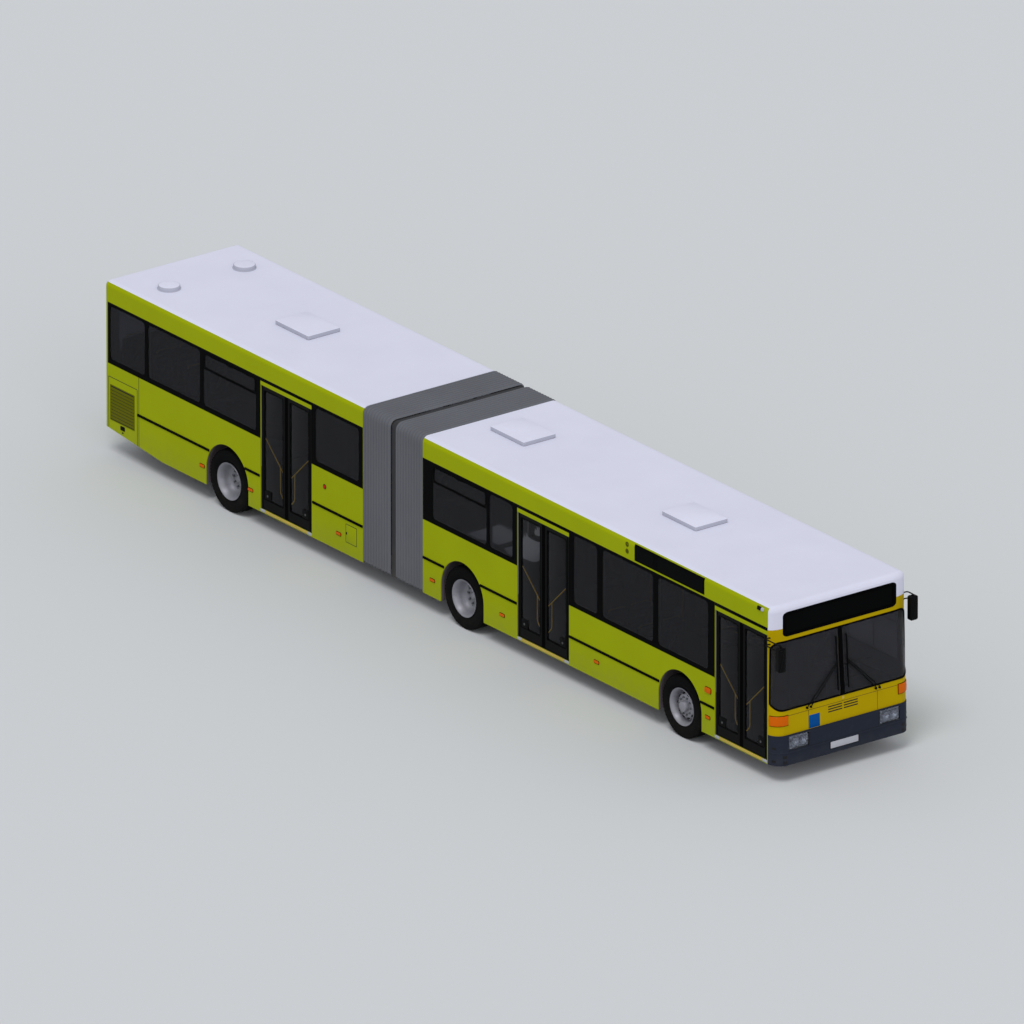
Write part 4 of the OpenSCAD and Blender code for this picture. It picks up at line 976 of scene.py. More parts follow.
LOW_STRIP, HIGH_STRIP = 0.743, 0.85
STRIPS = {"front_right": [([(1.30, "front"), ("front", 4.85)], LOW_STRIP),
                          ([(6.14, "middle"), ("middle", 8.455)], HIGH_STRIP)],
          "front_left": [([(0.03, "front"), ("front", 4.85)], LOW_STRIP),
                         ([(4.87, "middle"), ("middle", 8.455)], HIGH_STRIP)],
          "rear_right": [([(9.95, 11.2), (12.515, "rear"), ("rear", 15.573)], HIGH_STRIP)],
          "rear_left": [([(9.95, "rear"), ("rear", 15.573)], HIGH_STRIP)]}
for name, levels in STRIPS.items():
    car, side = car_and_side(name)
    piece(f"{name}_strips", [strips(side, spans, z) for spans, z in levels], rubber, car)


def lens(side, u, v, w, h, proud=0.012):
    """A crowned lens and the dark bezel around it."""
    def loop(grow):
        return rounded(u - w / 2 - grow, u + w / 2 + grow, v - h / 2 - grow, v + h / 2 + grow,
                       min(w, h) * 0.25 + grow)
    inner = loop(0.0)
    return plate(side, inner, 0.001, proud, 0.006), ring_plate(side, loop(0.008), inner, 0.0, 0.006, 0.002)


MARKERS = {"front": [1.46, 4.18, 6.5, 8.225], "rear": [10.55, 12.745, 13.955]}
for car, stations in MARKERS.items():
    lamps = [lens(side, at(s), 0.55, 0.115, 0.045) for side in SIDES.values() for s in stations]
    if car == "front":
        lamps += [lens(side, at(1.452), 0.983, 0.14, 0.085, 0.02) for side in SIDES.values()]
    piece(f"{car}_side_markers", [lit for lit, bezel in lamps], orange_lens, f"{car}_car")
    piece(f"{car}_marker_bezels", [bezel for lit, bezel in lamps], rubber, f"{car}_car")
print("strips, markers and flashers are in place")

# %% [markdown]
# ## Doors
# Each doorway has two leaves that fold against the posts. A leaf is an aluminium frame, anodised
# black, around one pane; a rubber finger guard closes the gap at the middle, a gearbox cover
# sits at the foot of the post side, and a yellow rail inside helps people up. Frame, glass,
# guard and rail are separate pieces that ride on the same leaf, and the frame stands for the CAD leaf.

# %% Door leaves
GLASS_LOW, GLASS_HIGH = 0.507, 2.247


def leaf_face(u, v, d):
    """A point on the outer face of a closed leaf."""
    return (u, LEAF_Y - d, v)


for door in DOORS:
    for end, post in (("fore", 1), ("aft", -1)):
        node = f"{door}_door_{end}_leaf"
        low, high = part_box(node)
        LEAF_Y, deep = low.y, high.y - low.y
        u_post, u_mid = (high.x, low.x) if post > 0 else (low.x, high.x)
        g_post, g_mid = u_post - post * 0.024, u_mid + post * 0.082
        outline = rounded(*sorted((u_post, u_mid)), low.z, high.z, 0.012)
        opening = rounded(*sorted((g_post, g_mid)), GLASS_LOW, GLASS_HIGH, 0.022)
        shell = ring_plate(leaf_face, outline, opening, -deep, 0.0, 0.005)
        cover = box_plate(leaf_face, *sorted((g_post, g_post - post * 0.165)), GLASS_LOW - 0.006,
                          GLASS_LOW + 0.146, -deep + 0.004, -0.002, 0.006, 0.012)
        knob = moved(turned([(0.0, -0.004), (0.018, -0.004), (0.018, 0.0), (0.012, 0.006), (0.0, 0.006)],
                            20, closed=False), (g_post - post * 0.085, LEAF_Y - 0.001, GLASS_LOW + 0.07))
        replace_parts(piece(f"{node}_frame", [shell, cover], black_plastic, node), node)
        piece(f"{node}_release", knob, cast_grey, node)
        pane = plate(leaf_face, inset(opening, -0.004), -0.022, -0.012, 0.001)
        piece(f"{node}_glass", pane, door_glass, node)
        ribs = [plate(leaf_face, rounded(*sorted((u_mid + post * o, u_mid + post * (o + 0.009))),
                                         low.z + 0.01, high.z - 0.01, 0.003, 2), -0.004, 0.004, 0.002)
                for o in (0.001, 0.014, 0.027)]
        piece(f"{node}_guard", ribs, rubber, node)
        seal = ring_plate(leaf_face, inset(opening, -0.008), inset(opening, 0.007), -0.002, 0.003, 0.002)
        piece(f"{node}_seal", seal, rubber, node)
        rail_y = LEAF_Y + deep * 0.72
        p = lambda share, z: (g_post + (g_mid - g_post) * share, rail_y, z)
        handrail = joined(
            tube([p(0.03, 1.475), p(0.97, 1.045)], 0.0095, 10),
            tube([p(0.80, 1.12), p(0.80, 0.71), p(0.97, 0.625)], 0.0095, 10, bend=0.07))
        piece(f"{node}_rail", handrail, rail_yellow, node)
print("door leaves:", len(DOORS) * 2)

# %% [markdown]
# The doorway: a sill strip with a yellow tread nosing and pale ends under the leaves.

# %% Door sills
for car, names in (("front", ("front", "middle")), ("rear", ("rear",))):
    nosing, ends = [], []
    for door in names:
        a, b = at(DOORS[door] + DOOR_HALF), min(at(DOORS[door] - DOOR_HALF), SEAM_X - 0.012)
        nosing.append(box_plate(right_side, a + 0.115, b - 0.115, 0.294, 0.337, 0.0, 0.006, 0.003))
        ends += [box_plate(right_side, a + 0.004, a + 0.111, 0.294, 0.337, 0.0, 0.006, 0.003),
                 box_plate(right_side, b - 0.111, b - 0.004, 0.294, 0.337, 0.0, 0.006, 0.003)]
    piece(f"{car}_sill_nosings", nosing, sill_yellow, f"{car}_car")
    piece(f"{car}_sill_ends", ends, pale_trim, f"{car}_car")
print("sills are in place")

# %% [markdown]
# ## Wheels
# A tyre and its rim are turned shapes: one profile, turned about the axle line. What a plain
# turned shape lacks is what repeats round it, so lugs for the tread's shoulder and the wheel nuts
# come from the ring tree. The front wheel's hub stands out, and the outer wheel of a twin pair is
# deeply dished, because both of its wheels bolt face to face.

# %% Tyres
TYRE_R, TYRE_HALF, BEAD_R = 0.487, 0.1375, 0.290


def tyre_profile():
    """Radius and place along the axle of a tyre's outline, grooves included."""
    outside = [(BEAD_R - 0.004, -0.105), (BEAD_R + 0.012, -0.120), (BEAD_R + 0.030, -0.1265),
               (BEAD_R + 0.034, -0.1240), (BEAD_R + 0.060, -0.1330), (0.385, -TYRE_HALF),
               (0.418, -0.1365), (0.422, -0.1345), (0.446, -0.1330), (0.468, -0.1250), (0.480, -0.1130)]
    tread = []
    for groove in (-0.066, -0.022, 0.022, 0.066):
        tread += [(TYRE_R - 0.0008, groove - 0.0075), (TYRE_R - 0.014, groove - 0.0045),
                  (TYRE_R - 0.014, groove + 0.0045), (TYRE_R - 0.0008, groove + 0.0075)]
    whole = outside + [(TYRE_R - 0.002, -0.100)] + tread + [(TYRE_R - 0.002, 0.100)]
    inside = [(r, -a) for r, a in reversed(outside)]
    return whole + inside + [(BEAD_R - 0.012, 0.09), (BEAD_R - 0.012, -0.09)]


LUG_R, BLOCK_R = 0.476, 0.474
lug_foot = [(LUG_R, 0.100, -0.010), (LUG_R, 0.100, 0.010), (LUG_R, 0.1225, 0.010), (LUG_R, 0.1225, -0.010)]
lug_head = [(0.4862, 0.101, -0.008), (0.4862, 0.101, 0.008), (0.4802, 0.1195, 0.008),
            (0.4802, 0.1195, -0.008)]
lug = stack([lug_foot, lug_head])
lug_ring = ring_mesh(joined(lug, flipped(lug)), 56, tyre_rubber)
block_foot = [(0.030, -0.0135), (0.030, 0.0135), (0.058, 0.0175), (0.058, -0.0095)]
block_head = [(0.0305, -0.0130), (0.0305, 0.0130), (0.0575, 0.0170), (0.0575, -0.0090)]
block = stack([[(r, y, z) for y, z in face] for r, face in ((BLOCK_R, block_foot), (TYRE_R, block_head))])
block_ring = ring_mesh(joined(block, flipped(block)), 72, tyre_rubber)
print("lug ring has", len(lug_ring[1]), "faces, block ring", len(block_ring[1]))

# %% Rims
# Profiles run from the hub outwards; RIM_EDGE is the outer lip and the barrel, which all rims share.
RIM_EDGE = [(0.252, 0.084), (0.266, 0.100), (0.276, 0.124), (0.2905, 0.132), (0.2925, 0.127),
            (0.284, 0.112), (0.274, 0.094), (0.264, 0.06), (0.262, -0.118), (0.250, -0.118)]


def front_rim_profile():
    """A shallow dished disc with a standing hub."""
    return [(0.0, 0.128), (0.060, 0.128), (0.078, 0.120), (0.086, 0.100), (0.088, 0.060), (0.122, 0.056),
            (0.150, 0.062), (0.172, 0.058), (0.205, 0.030), (0.222, -0.004), (0.236, -0.006),
            (0.246, 0.030), *RIM_EDGE, (0.240, -0.022), (0.215, -0.024), (0.170, 0.038), (0.05, 0.038),
            (0.05, -0.02), (0.0, -0.02)]


def dished_rim_profile(outer):
    """One wheel of a twin pair; outer says which way its dish opens."""
    s = 1 if outer else -1
    line = [(0.050, -0.086), (0.112, -0.086), (0.118, -0.080), (0.168, -0.080), (0.200, -0.070),
            (0.226, -0.030), (0.243, 0.020), *RIM_EDGE, (0.240, -0.052), (0.205, -0.088),
            (0.170, -0.096), (0.050, -0.096)]
    return [(r, s * a) for r, a in line]


def nut(radius, along):
    """A wheel nut with its stud, pointing along Y."""
    hexagon = [(radius + 0.0165 * cos(pi * k / 3), 0.0165 * sin(pi * k / 3)) for k in range(6)]
    stud = [(radius + 0.0085 * cos(pi * k / 4), 0.0085 * sin(pi * k / 4)) for k in range(8)]
    up = lambda loop, a, grow=1.0: [(radius + (x - radius) * grow, a, z * grow) for x, z in loop]
    return joined(stack([up(hexagon, along, 1.25), up(hexagon, along + 0.006, 1.25)]),
                  stack([up(hexagon, along + 0.005), up(hexagon, along + 0.020),
                         up(hexagon, along + 0.023, 0.8)]),
                  stack([up(stud, along + 0.02), up(stud, along + 0.034), up(stud, along + 0.036, 0.7)]))


front_nuts = ring_mesh(nut(0.136, 0.055), 10, steel)
twin_nuts = ring_mesh(nut(0.143, -0.082), 10, steel)
turns = [2 * pi * k / 14 for k in range(14)]
slot_shape = stack([[(0.186 + 0.017 * cos(a), y, 0.024 * sin(a)) for a in turns] for y in (0.0, 0.02)])
# The rims' vent slots are dark blocks standing on the disc: painted shade of the holes.
dark_slots = ring_mesh(moved(slot_shape, (0.004, 0.0355, 0.0)), 10, seam_and_shade_black)
twin_slots = ring_mesh(moved(slot_shape, (0.010, -0.094, 0.0)), 10, seam_and_shade_black)
hub_cap = turned([(0.0, 0.034), (0.030, 0.034), (0.048, 0.028), (0.060, 0.012), (0.060, -0.05),
                  (0.0, -0.05)], 40)
print("nuts and slots:", len(front_nuts[1]), len(twin_nuts[1]), "faces")

# %% [markdown]
# Each wheel is assembled about its own axle and then moved into place, with its vertices and not
# with its object, because every finished piece keeps its object at the origin.

# %% Wheels on their bodies
def wheel_pieces(axle, hand, s, x):
    """The pieces of one wheel, or of a pair that bolts face to face; s is +1 for the left side."""
    low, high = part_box(f"{axle}_{hand}_tyre")
    near, far = sorted((abs(low.y), abs(high.y)))
    centres = [far - TYRE_HALF] + ([] if axle == "front" else [near + TYRE_HALF])

    def put_at(y, *shapes):
        """Right-hand or left-hand copies of wheel shapes, at a distance y from the middle."""
        return [moved(p if s > 0 else flipped(p), (at(x), s * y, (low.z + high.z) / 2)) for p in shapes]

    tyres = sum((put_at(y, turned(tyre_profile(), 96), lug_ring, block_ring) for y in centres), [])
    outer = centres[0]
    if axle == "front":
        rims = put_at(outer, turned(front_rim_profile(), 72, closed=False))
        nuts, slots = put_at(outer, front_nuts), put_at(outer, dark_slots)
    else:
        rims = [put_at(y, turned(dished_rim_profile(y == outer), 72))[0] for y in centres]
        rims += put_at(outer - 0.055, hub_cap)
        nuts, slots = put_at(outer, twin_nuts), put_at(outer, twin_slots)
    name, body = f"{axle}_{hand}", f"{axle}_{hand}_wheel"
    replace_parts(piece(f"{name}_tyre_tread", tyres, tyre_rubber, body, 30), f"{name}_tyre")
    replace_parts(piece(f"{name}_rim_disc", rims, wheel_silver, body, 40), f"{name}_rim")
    piece(f"{name}_nuts", nuts, steel, body, 30)
    # The slots are dark blocks on the rim: painted shade of its vent holes.
    piece(f"{name}_slots", slots, seam_and_shade_black, body)


for axle, x in ARCHES.items():
    for hand, s in (("left", 1), ("right", -1)):
        wheel_pieces(axle, hand, s, x)
print("wheels are on their bodies")

# %% [markdown]
# ## Bellows
# A coated fabric is folded in pleats and clamped to hoops, and each half hangs between one car
# and the middle hoop. Its shape follows a rule, so Geometry Nodes make it: a grid whose one
# direction runs round the doorway-shaped path and whose other one zigzags in and out. Solidify
# gives the fabric its thickness, and the hem is cut higher at the inner folds. The hoop always
# stands at half the angle between the cars.

# %% The pleated sleeve
sleeve, g_in = geometry_tree("pleated_sleeve", Path="Object", Around="Int", Along="Int", Pleats="Float",
                             Front="Float", Length="Float", Depth="Float", Hem="Float", Paint="Material")
grid = put(sleeve, "GeometryNodeMeshGrid", [("Size X", 1.0), ("Size Y", 1.0),
                                            ("Vertices X", g_in["Around"]),
                                            ("Vertices Y", g_in["Along"])])
spot = put(sleeve, "ShaderNodeSeparateXYZ", [(0, put(sleeve, "GeometryNodeInputPosition"))])
share = maths(sleeve, "ADD", spot.outputs["X"], 0.5)
run = maths(sleeve, "ADD", spot.outputs["Y"], 0.5)
path_info = put(sleeve, "GeometryNodeObjectInfo", [("Object", g_in["Path"])])
along_path = [("Curves", path_info.outputs["Geometry"]), ("Factor", share)]
sampled = put(sleeve, "GeometryNodeSampleCurve", along_path, mode="FACTOR", use_all_curves=True)
outwards = vector_maths(sleeve, "CROSS_PRODUCT", sampled.outputs["Tangent"], (1.0, 0.0, 0.0))
phase = maths(sleeve, "MULTIPLY", run, g_in["Pleats"])
zigzag = maths(sleeve, "PINGPONG", phase, 0.5)
fold = maths(sleeve, "MULTIPLY", zigzag, 2.0)
soft_fold = put(sleeve, "ShaderNodeMapRange", [("Value", fold)], interpolation_type="SMOOTHSTEP")
pull = maths(sleeve, "MULTIPLY", soft_fold, g_in["Depth"])
push = vector_maths(sleeve, "SCALE", outwards, pull)
x_run = maths(sleeve, "MULTIPLY", run, g_in["Length"])
x_at = maths(sleeve, "SUBTRACT", g_in["Front"], x_run)
slide = put(sleeve, "ShaderNodeCombineXYZ", [("X", x_at)])
first = vector_maths(sleeve, "ADD", sampled.outputs["Position"], push)
slid = vector_maths(sleeve, "ADD", first, slide)
from_top = maths(sleeve, "ABSOLUTE", spot.outputs["X"])
near_foot = put(sleeve, "ShaderNodeMapRange", [("Value", from_top), (1, 0.48), (2, 0.5), (3, 0.0),
                                               (4, g_in["Hem"])])
lift = maths(sleeve, "MULTIPLY", near_foot, soft_fold)
raised = put(sleeve, "ShaderNodeCombineXYZ", [("Z", lift)])
final = vector_maths(sleeve, "ADD", slid, raised)
cloth = put(sleeve, "GeometryNodeSetPosition", [(0, grid), ("Position", final)])
end_tree(sleeve, cloth.outputs[0], g_in["Paint"])
print("sleeve tree:", len(sleeve.nodes), "nodes")

# %% Two halves of the bellows
BELLOWS_R, PLEATS, PLEAT_DEPTH, HEM_RISE, CLOTH = 0.100, 10, 0.024, 0.046, 0.006


def portal_path(half, low_z, top_z, r):
    """The doorway-shaped path, from the foot of the right side over the roof to the left foot."""
    points = [(0, -half, lerp(low_z, top_z - r, k / 10)) for k in range(11)]
    points += [(0, -half + r - r * cos(a), top_z - r + r * sin(a)) for a in
               [radians(15 * k) for k in range(1, 7)]]
    points += [(0, lerp(-half + r, half - r, k / 8), top_z) for k in range(1, 9)]
    points += [(0, half - r + r * sin(a), top_z - r + r * cos(a)) for a in
               [radians(15 * k) for k in range(1, 7)]]
    points += [(0, half, lerp(top_z - r, low_z, k / 10)) for k in range(1, 11)]
    return points


def bellows_half(node):
    """The pleats of one half, in the box of its CAD node."""
    low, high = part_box(node)
    line = bpy.data.curves.new("path", "CURVE")
    line.dimensions = "3D"
    spline = line.splines.new("POLY")
    points = portal_path(high.y - 0.004, low.z, high.z - 0.004, BELLOWS_R)
    spline.points.add(len(points) - 1)
    for spot_on, p in zip(spline.points, points):
        spot_on.co = (*p, 1)
    path_object = linked("path", line)
    cloth = grown(f"{node}_pleats", sleeve, {
        "Path": path_object, "Around": 161, "Along": PLEATS * 8 + 1, "Pleats": float(PLEATS),
        "Front": high.x - 0.002, "Length": high.x - low.x - 0.004, "Depth": -PLEAT_DEPTH, "Hem": HEM_RISE,
        "Paint": bellows_fabric})
    bpy.data.objects.remove(path_object)
    thick = cloth.modifiers.new("fabric", "SOLIDIFY")
    thick.thickness, thick.offset = CLOTH, 0.0
    bake(cloth)
    settle(cloth, bellows_fabric, None, 60)
    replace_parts(cloth, node)
    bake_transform(cloth)
    return cloth


front_half = bellows_half("front_bellows")
rear_half = bellows_half("rear_bellows")
for half in (front_half, rear_half):
    print(half.name, len(half.data.polygons), "faces", [round(c, 3) for c in half.bound_box[0]],
          [round(c, 3) for c in half.bound_box[6]])

# %% [markdown]
# ## The front
# The mask is one moulding: flat across, and round at the corners, where its outline is a quarter
# of an ellipse. It leans back as it rises, and the bumper stands out below it. One function gives
# any point of this surface, so that everything fixed to the front follows it. Its first number
# runs across the flat and then on round the corner.

# %% The front's surface
BUMPER_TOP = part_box("front_bumper")[1][2]
FRONT_LEVELS = ((BUMPER_TOP, 0.190, 0.190), (1.144, 0.178, 0.200), (2.193, 0.097, 0.300),
                (2.667, 0.097, 0.300))
BUMPER_REACH, BUMPER_CORNER = 0.218, 0.190


def front_outline(z):
    """Reach ahead of the seam, and the corner's size across, at a height."""
    if z < BUMPER_TOP:
        return BUMPER_REACH, BUMPER_CORNER
    for (z0, a0, b0), (z1, a1, b1) in zip(FRONT_LEVELS, FRONT_LEVELS[1:]):
        if z <= z1:
            return lerp(a0, a1, (z - z0) / (z1 - z0)), lerp(b0, b1, (z - z0) / (z1 - z0))
    return FRONT_LEVELS[-1][1:]


def front_face(u, z, d):
    """A point at distance d off the front; u runs across the flat middle and on round the corner."""
    ahead_by, corner = front_outline(z)
    flat = SIDE_Y - corner
    turn = max(0.0, min(1.0, (abs(u) - flat) / corner)) * pi / 2
    out_of = Vector((corner * cos(turn), ahead_by * sin(turn))).normalized()
    across = min(abs(u), flat) + corner * sin(turn) + d * out_of.y
    return (SEAM_X + ahead_by * cos(turn) + d * out_of.x, copysign(across, u), z)


def wrapped(y, z, edge):
    """The number u of the point at true distance y across, stopped at edge ahead of the seam."""
    ahead_by, corner = front_outline(z)
    flat = SIDE_Y - corner
    limit = flat + corner * acos(edge / ahead_by) * 2 / pi
    over = min(1.0, (abs(y) - flat) / corner)
    u = abs(y) if over <= 0 else flat + corner * asin(over) * 2 / pi
    return copysign(min(u, limit), y)


def dense(loop, step=0.03):
    """The loop with its long sides divided, so that it can follow a round surface."""
    finer = []
    for a, b in zip(loop, loop[1:] + loop[:1]):
        parts = max(1, ceil(dist(a, b) / step))
        finer += [(lerp(a[0], b[0], k / parts), lerp(a[1], b[1], k / parts)) for k in range(parts)]
    return finer


def gasket(side, loop, half, high, low=-0.004):
    """A rubber profile laid round a closed loop on a surface."""
    section = ((-half, low), (-half, 0.3 * high), (-0.5 * half, high), (0.5 * half, high),
               (half, 0.3 * high), (half, low))
    rings, n, k = [], len(loop), len(section)
    for i, (u, v) in enumerate(loop):
        here, before, after = (Vector(side(*loop[j % n], 0.0)) for j in (i, i - 1, i + 1))
        out_of = (Vector(side(u, v, 1.0)) - here).normalized()
        across = out_of.cross(after - before).normalized()
        rings += [tuple(here + across * a + out_of * h) for a, h in section]
    faces = [(a * k + b, (a + 1) % n * k + b, (a + 1) % n * k + (b + 1) % k, a * k + (b + 1) % k)
             for a in range(n) for b in range(k)]
    return rings, faces


def wrap_bar(u0, u1, section, steps=12):
    """A moulding that follows the front from u0 to u1; section is its (z, d) outline."""
    return stack([[front_face(lerp(u0, u1, k / steps), z, d) for z, d in section]
                  for k in range(steps + 1)])


print("front reach at the bumper, sill and brow:",
      [round(front_outline(z)[0], 3) for z in (0.5, 1.144, 2.3)])

# %% [markdown]
# Both windscreens are held by one rubber profile, with a wide joint at the middle. Above them the
# destination display sits behind its own dark pane, whose edge is printed black. The display is blank.

# %% Windscreen rubber and sign surround
screen = [(wrapped(y, z, 0.036), z) for y, z in dense(rounded(-1.255, 1.255, 1.144, 2.193, 0.15, 9))]
piece("windscreen_rubber", gasket(front_face, screen, 0.014, 0.008), rubber)
divider_section = ((-0.036, -0.004), (-0.032, 0.008), (0.032, 0.008), (0.036, -0.004))
divider = stack([[front_face(y, lerp(1.15, 2.187, k / 8), d) for y, d in divider_section]
                 for k in range(9)])
piece("windscreen_joint", divider, rubber)
surround = ring_plate(front_face, rounded(-1.013, 1.013, 2.267, 2.655, 0.062, 6),
                      rounded(-0.962, 0.962, 2.315, 2.604, 0.020, 6), -0.003, 0.004, 0.002)
piece("sign_surround", surround, band_black)
print("windscreen rubber, joint and sign surround are on the mask")

# %% [markdown]
# Seams show where the mask can be opened for service: one line across, and two that run down
# through the bumper beside the headlamps. Air for the heater enters through three rows of slots.

# %% Seams, lock, heater slots and flashers
SEAM_Z, FLAP_HALF, FLAP_FOOT = 1.047, 0.635, 0.497
LINE = 0.0028


def front_line(y0, y1, z0, z1):
    return box_plate(front_face, y0, y1, z0, z1, -0.001, 0.0012, 0.0005, 0.001)


lines = [front_line(-1.05, 1.05, SEAM_Z - LINE, SEAM_Z + LINE)]
lines += [front_line(y - LINE, y + LINE, z0, z1) for y in (-FLAP_HALF, FLAP_HALF)
          for z0, z1 in ((BUMPER_TOP + 0.002, SEAM_Z), (FLAP_FOOT, BUMPER_TOP - 0.002))]
lines.append(front_line(-1.055, 1.055, FLAP_FOOT - 2 * LINE, FLAP_FOOT))
piece("front_seams", lines, seam_and_shade_black)
SLOT_STARTS, SLOT_LONG, SLOT_Z = (-0.275, 0.012), 0.26, 0.920
# The heater slots are dark plates under yellow hoods: painted shade of the openings.
slots = [plate(front_face, rounded(y, y + SLOT_LONG, SLOT_Z, SLOT_Z + 0.018, 0.006), -0.001, 0.0012, 0.0005)
         for y in SLOT_STARTS]
hoods = [plate(front_face, rounded(y - 0.002, y + SLOT_LONG + 0.002, SLOT_Z + 0.0185, SLOT_Z + 0.0255,
                                   0.003, 2), -0.001, 0.004, 0.003) for y in SLOT_STARTS]
climb = (-0.0012, 0.0, 0.040)
row("heater_slots", slots, 3, (0, 0, 0), climb, seam_and_shade_black)
row("heater_hoods", hoods, 3, (0, 0, 0), climb, yellow_paint)
LOCK_Z = 1.098
lock_x = SEAM_X + front_outline(LOCK_Z)[0]
lock = turned([(0.0, -0.004), (0.024, -0.004), (0.024, 0.003), (0.021, 0.006), (0.009, 0.006),
               (0.008, 0.003), (0.0, 0.003)], 32, (lock_x, 0.0, LOCK_Z), "X", closed=False)
piece("mask_lock", lock, sill_yellow)
piece("front_square", plate(front_face, rounded(-0.628, -0.430, 0.757, 0.962, 0.006), -0.001, 0.0016,
                            0.0006), flag_blue)
flasher_lens = [(0.905, -0.002), (0.905, 0.009), (0.911, 0.014), (0.980, 0.017), (1.049, 0.014),
                (1.055, 0.009), (1.055, -0.002)]
flasher_base = [(0.897, -0.002), (0.897, 0.006), (1.063, 0.006), (1.063, -0.002)]
flasher_end = abs(wrapped(SIDE_Y, 0.98, 0.038))
corners = [(1.020, flasher_end), (-1.020, -flasher_end)]
piece("front_flashers", [wrap_bar(a, b, flasher_lens) for a, b in corners], orange_lens)
piece("flasher_bases", [wrap_bar(a - copysign(0.008, a), b, flasher_base) for a, b in corners], rubber)
print("seams, slots and flashers are on the front")

# %% [markdown]
# The bumper is a thick moulding whose lower half stands a little prouder. It holds the headlamps
# and a blank number plate, and its small square holes give a grip for the tow-bar cover.

# %% Bumper details
number_plate = plate(front_face, rounded(-0.255, 0.255, 0.357, 0.460, 0.008), 0.001, 0.006, 0.002)
piece("number_plate", number_plate, white_lens)
piece("number_plate_holder", plate(front_face, rounded(-0.268, 0.268, 0.346, 0.471, 0.012), -0.002,
                                   0.0035, 0.001), black_plastic)
lip = [(0.462, -0.002), (0.464, 0.006), (0.470, 0.010), (0.482, 0.010), (0.488, 0.006), (0.490, -0.002)]
lip_end = wrapped(SIDE_Y, 0.48, 0.05)
piece("bumper_lip", wrap_bar(-lip_end, lip_end, lip, 40), bumper_paint)
# The square holes are dark plates on the bumper: painted shade of the holes.
holes = [plate(front_face, rounded(y - 0.020, y + 0.020, z - half, z + half, 0.005), -0.001, 0.002, 0.0008)
         for out_y, half, heights in ((1.08, 0.024, (0.418, 0.330)), (1.185, 0.018, (0.555, 0.350)))
         for y in (-out_y, out_y) for z in heights]
piece("bumper_holes", holes, seam_and_shade_black)
print("plate, lip and holes are on the bumper")

# %% [markdown]
# A headlamp is a tray with a bright reflector and a moulded lens. The reflector has a bowl for each
# bulb in a faceted surface, which scatters what it reflects, and flutes on the inside of the lens
# spread the beam.

# %% Headlamps
LAMP_Z0, LAMP_Z1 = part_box("headlamps")[0][2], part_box("headlamps")[1][2]
LAMP_Y0, LAMP_Y1, LAMP_DEEP = 0.65, 1.025, 0.088
BULB_PLACES = (0.30, 0.73)


def lamp_grid(depth, columns, rows, y0, y1, z0, z1, back):
    """A closed sheet across a lamp whose front follows depth(s, t), s and t from 0 to 1."""
    loops = []
    for i in range(columns + 1):
        y, heights = lerp(y0, y1, i / columns), [j / rows for j in range(rows + 1)]
        front_row = [front_face(y, lerp(z0, z1, t), depth(i / columns, t)) for t in heights]
        loops.append(front_row + [front_face(y, lerp(z0, z1, t), back) for t in reversed(heights)])
    return stack(loops)


def bowls(s, t):
    """Depth of the reflector: two bowls in a faceted field."""
    facet = 0.007 * sin(s * 41) * sin(t * 23) + 0.004 * sin(s * 97 + t * 31)
    deep = 0.0
    for centre in BULB_PLACES:
        r = hypot((s - centre) * 0.36, (t - 0.5) * 0.21)
        deep = max(deep, 0.040 * max(0.0, 1 - (r / 0.082) ** 2))
    return -0.022 - deep + (facet if deep < 0.004 else 0.3 * facet)


trays, shines, fronts, bulbs = [], [], [], []
for hand in (-1, 1):
    y0, y1 = sorted((hand * LAMP_Y0, hand * LAMP_Y1))
    edge_loop = rounded(y0, y1, LAMP_Z0, LAMP_Z1, 0.020)
    trays += [ring_plate(front_face, edge_loop, inset(edge_loop, 0.007), -LAMP_DEEP, -0.002, 0.002),
              plate(front_face, edge_loop, -LAMP_DEEP, -LAMP_DEEP + 0.008, 0.001)]
    shines.append(lamp_grid(bowls, 48, 26, y0 + 0.008, y1 - 0.008, LAMP_Z0 + 0.008, LAMP_Z1 - 0.008,
                            -0.070))
    fronts.append(lamp_grid(lambda s, t: -0.004 + 0.0008 * sin(s * 130), 90, 4, y0 + 0.0075, y1 - 0.0075,
                            LAMP_Z0 + 0.0075, LAMP_Z1 - 0.0075, -0.0085))
    for centre in BULB_PLACES:
        bulb_y = lerp(y0 + 0.008, y1 - 0.008, centre)
        bulbs.append(turned([(0.0, -0.062), (0.011, -0.062), (0.011, -0.040), (0.007, -0.030),
                             (0.0, -0.028)], 16,
                            (SEAM_X + BUMPER_REACH, bulb_y, (LAMP_Z0 + LAMP_Z1) / 2), "X", closed=False))
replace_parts(piece("headlamp_trays", trays, black_plastic), "headlamps")
piece("headlamp_reflectors", shines, reflector, smooth=20)
piece("headlamp_lenses", fronts, lamp_glass)
piece("headlamp_bulbs", bulbs, white_lens)
print("headlamps:", len(trays) // 2)

# %% [markdown]
# ## Mirrors and wipers
# A mirror head is a deep moulding, open to the rear, on an arm of two bent tubes. The right arm
# reaches forwards, so that the driver sees that mirror through the swept part of the windscreen.

# %% Mirrors
MIRROR_OUT, MIRROR_WIDE, MIRROR_TALL, MIRROR_DEEP = 1.38, 0.14, 0.38, 0.09
ARM_ROOT_X, ARM_R = SEAM_X + 0.018, 0.010


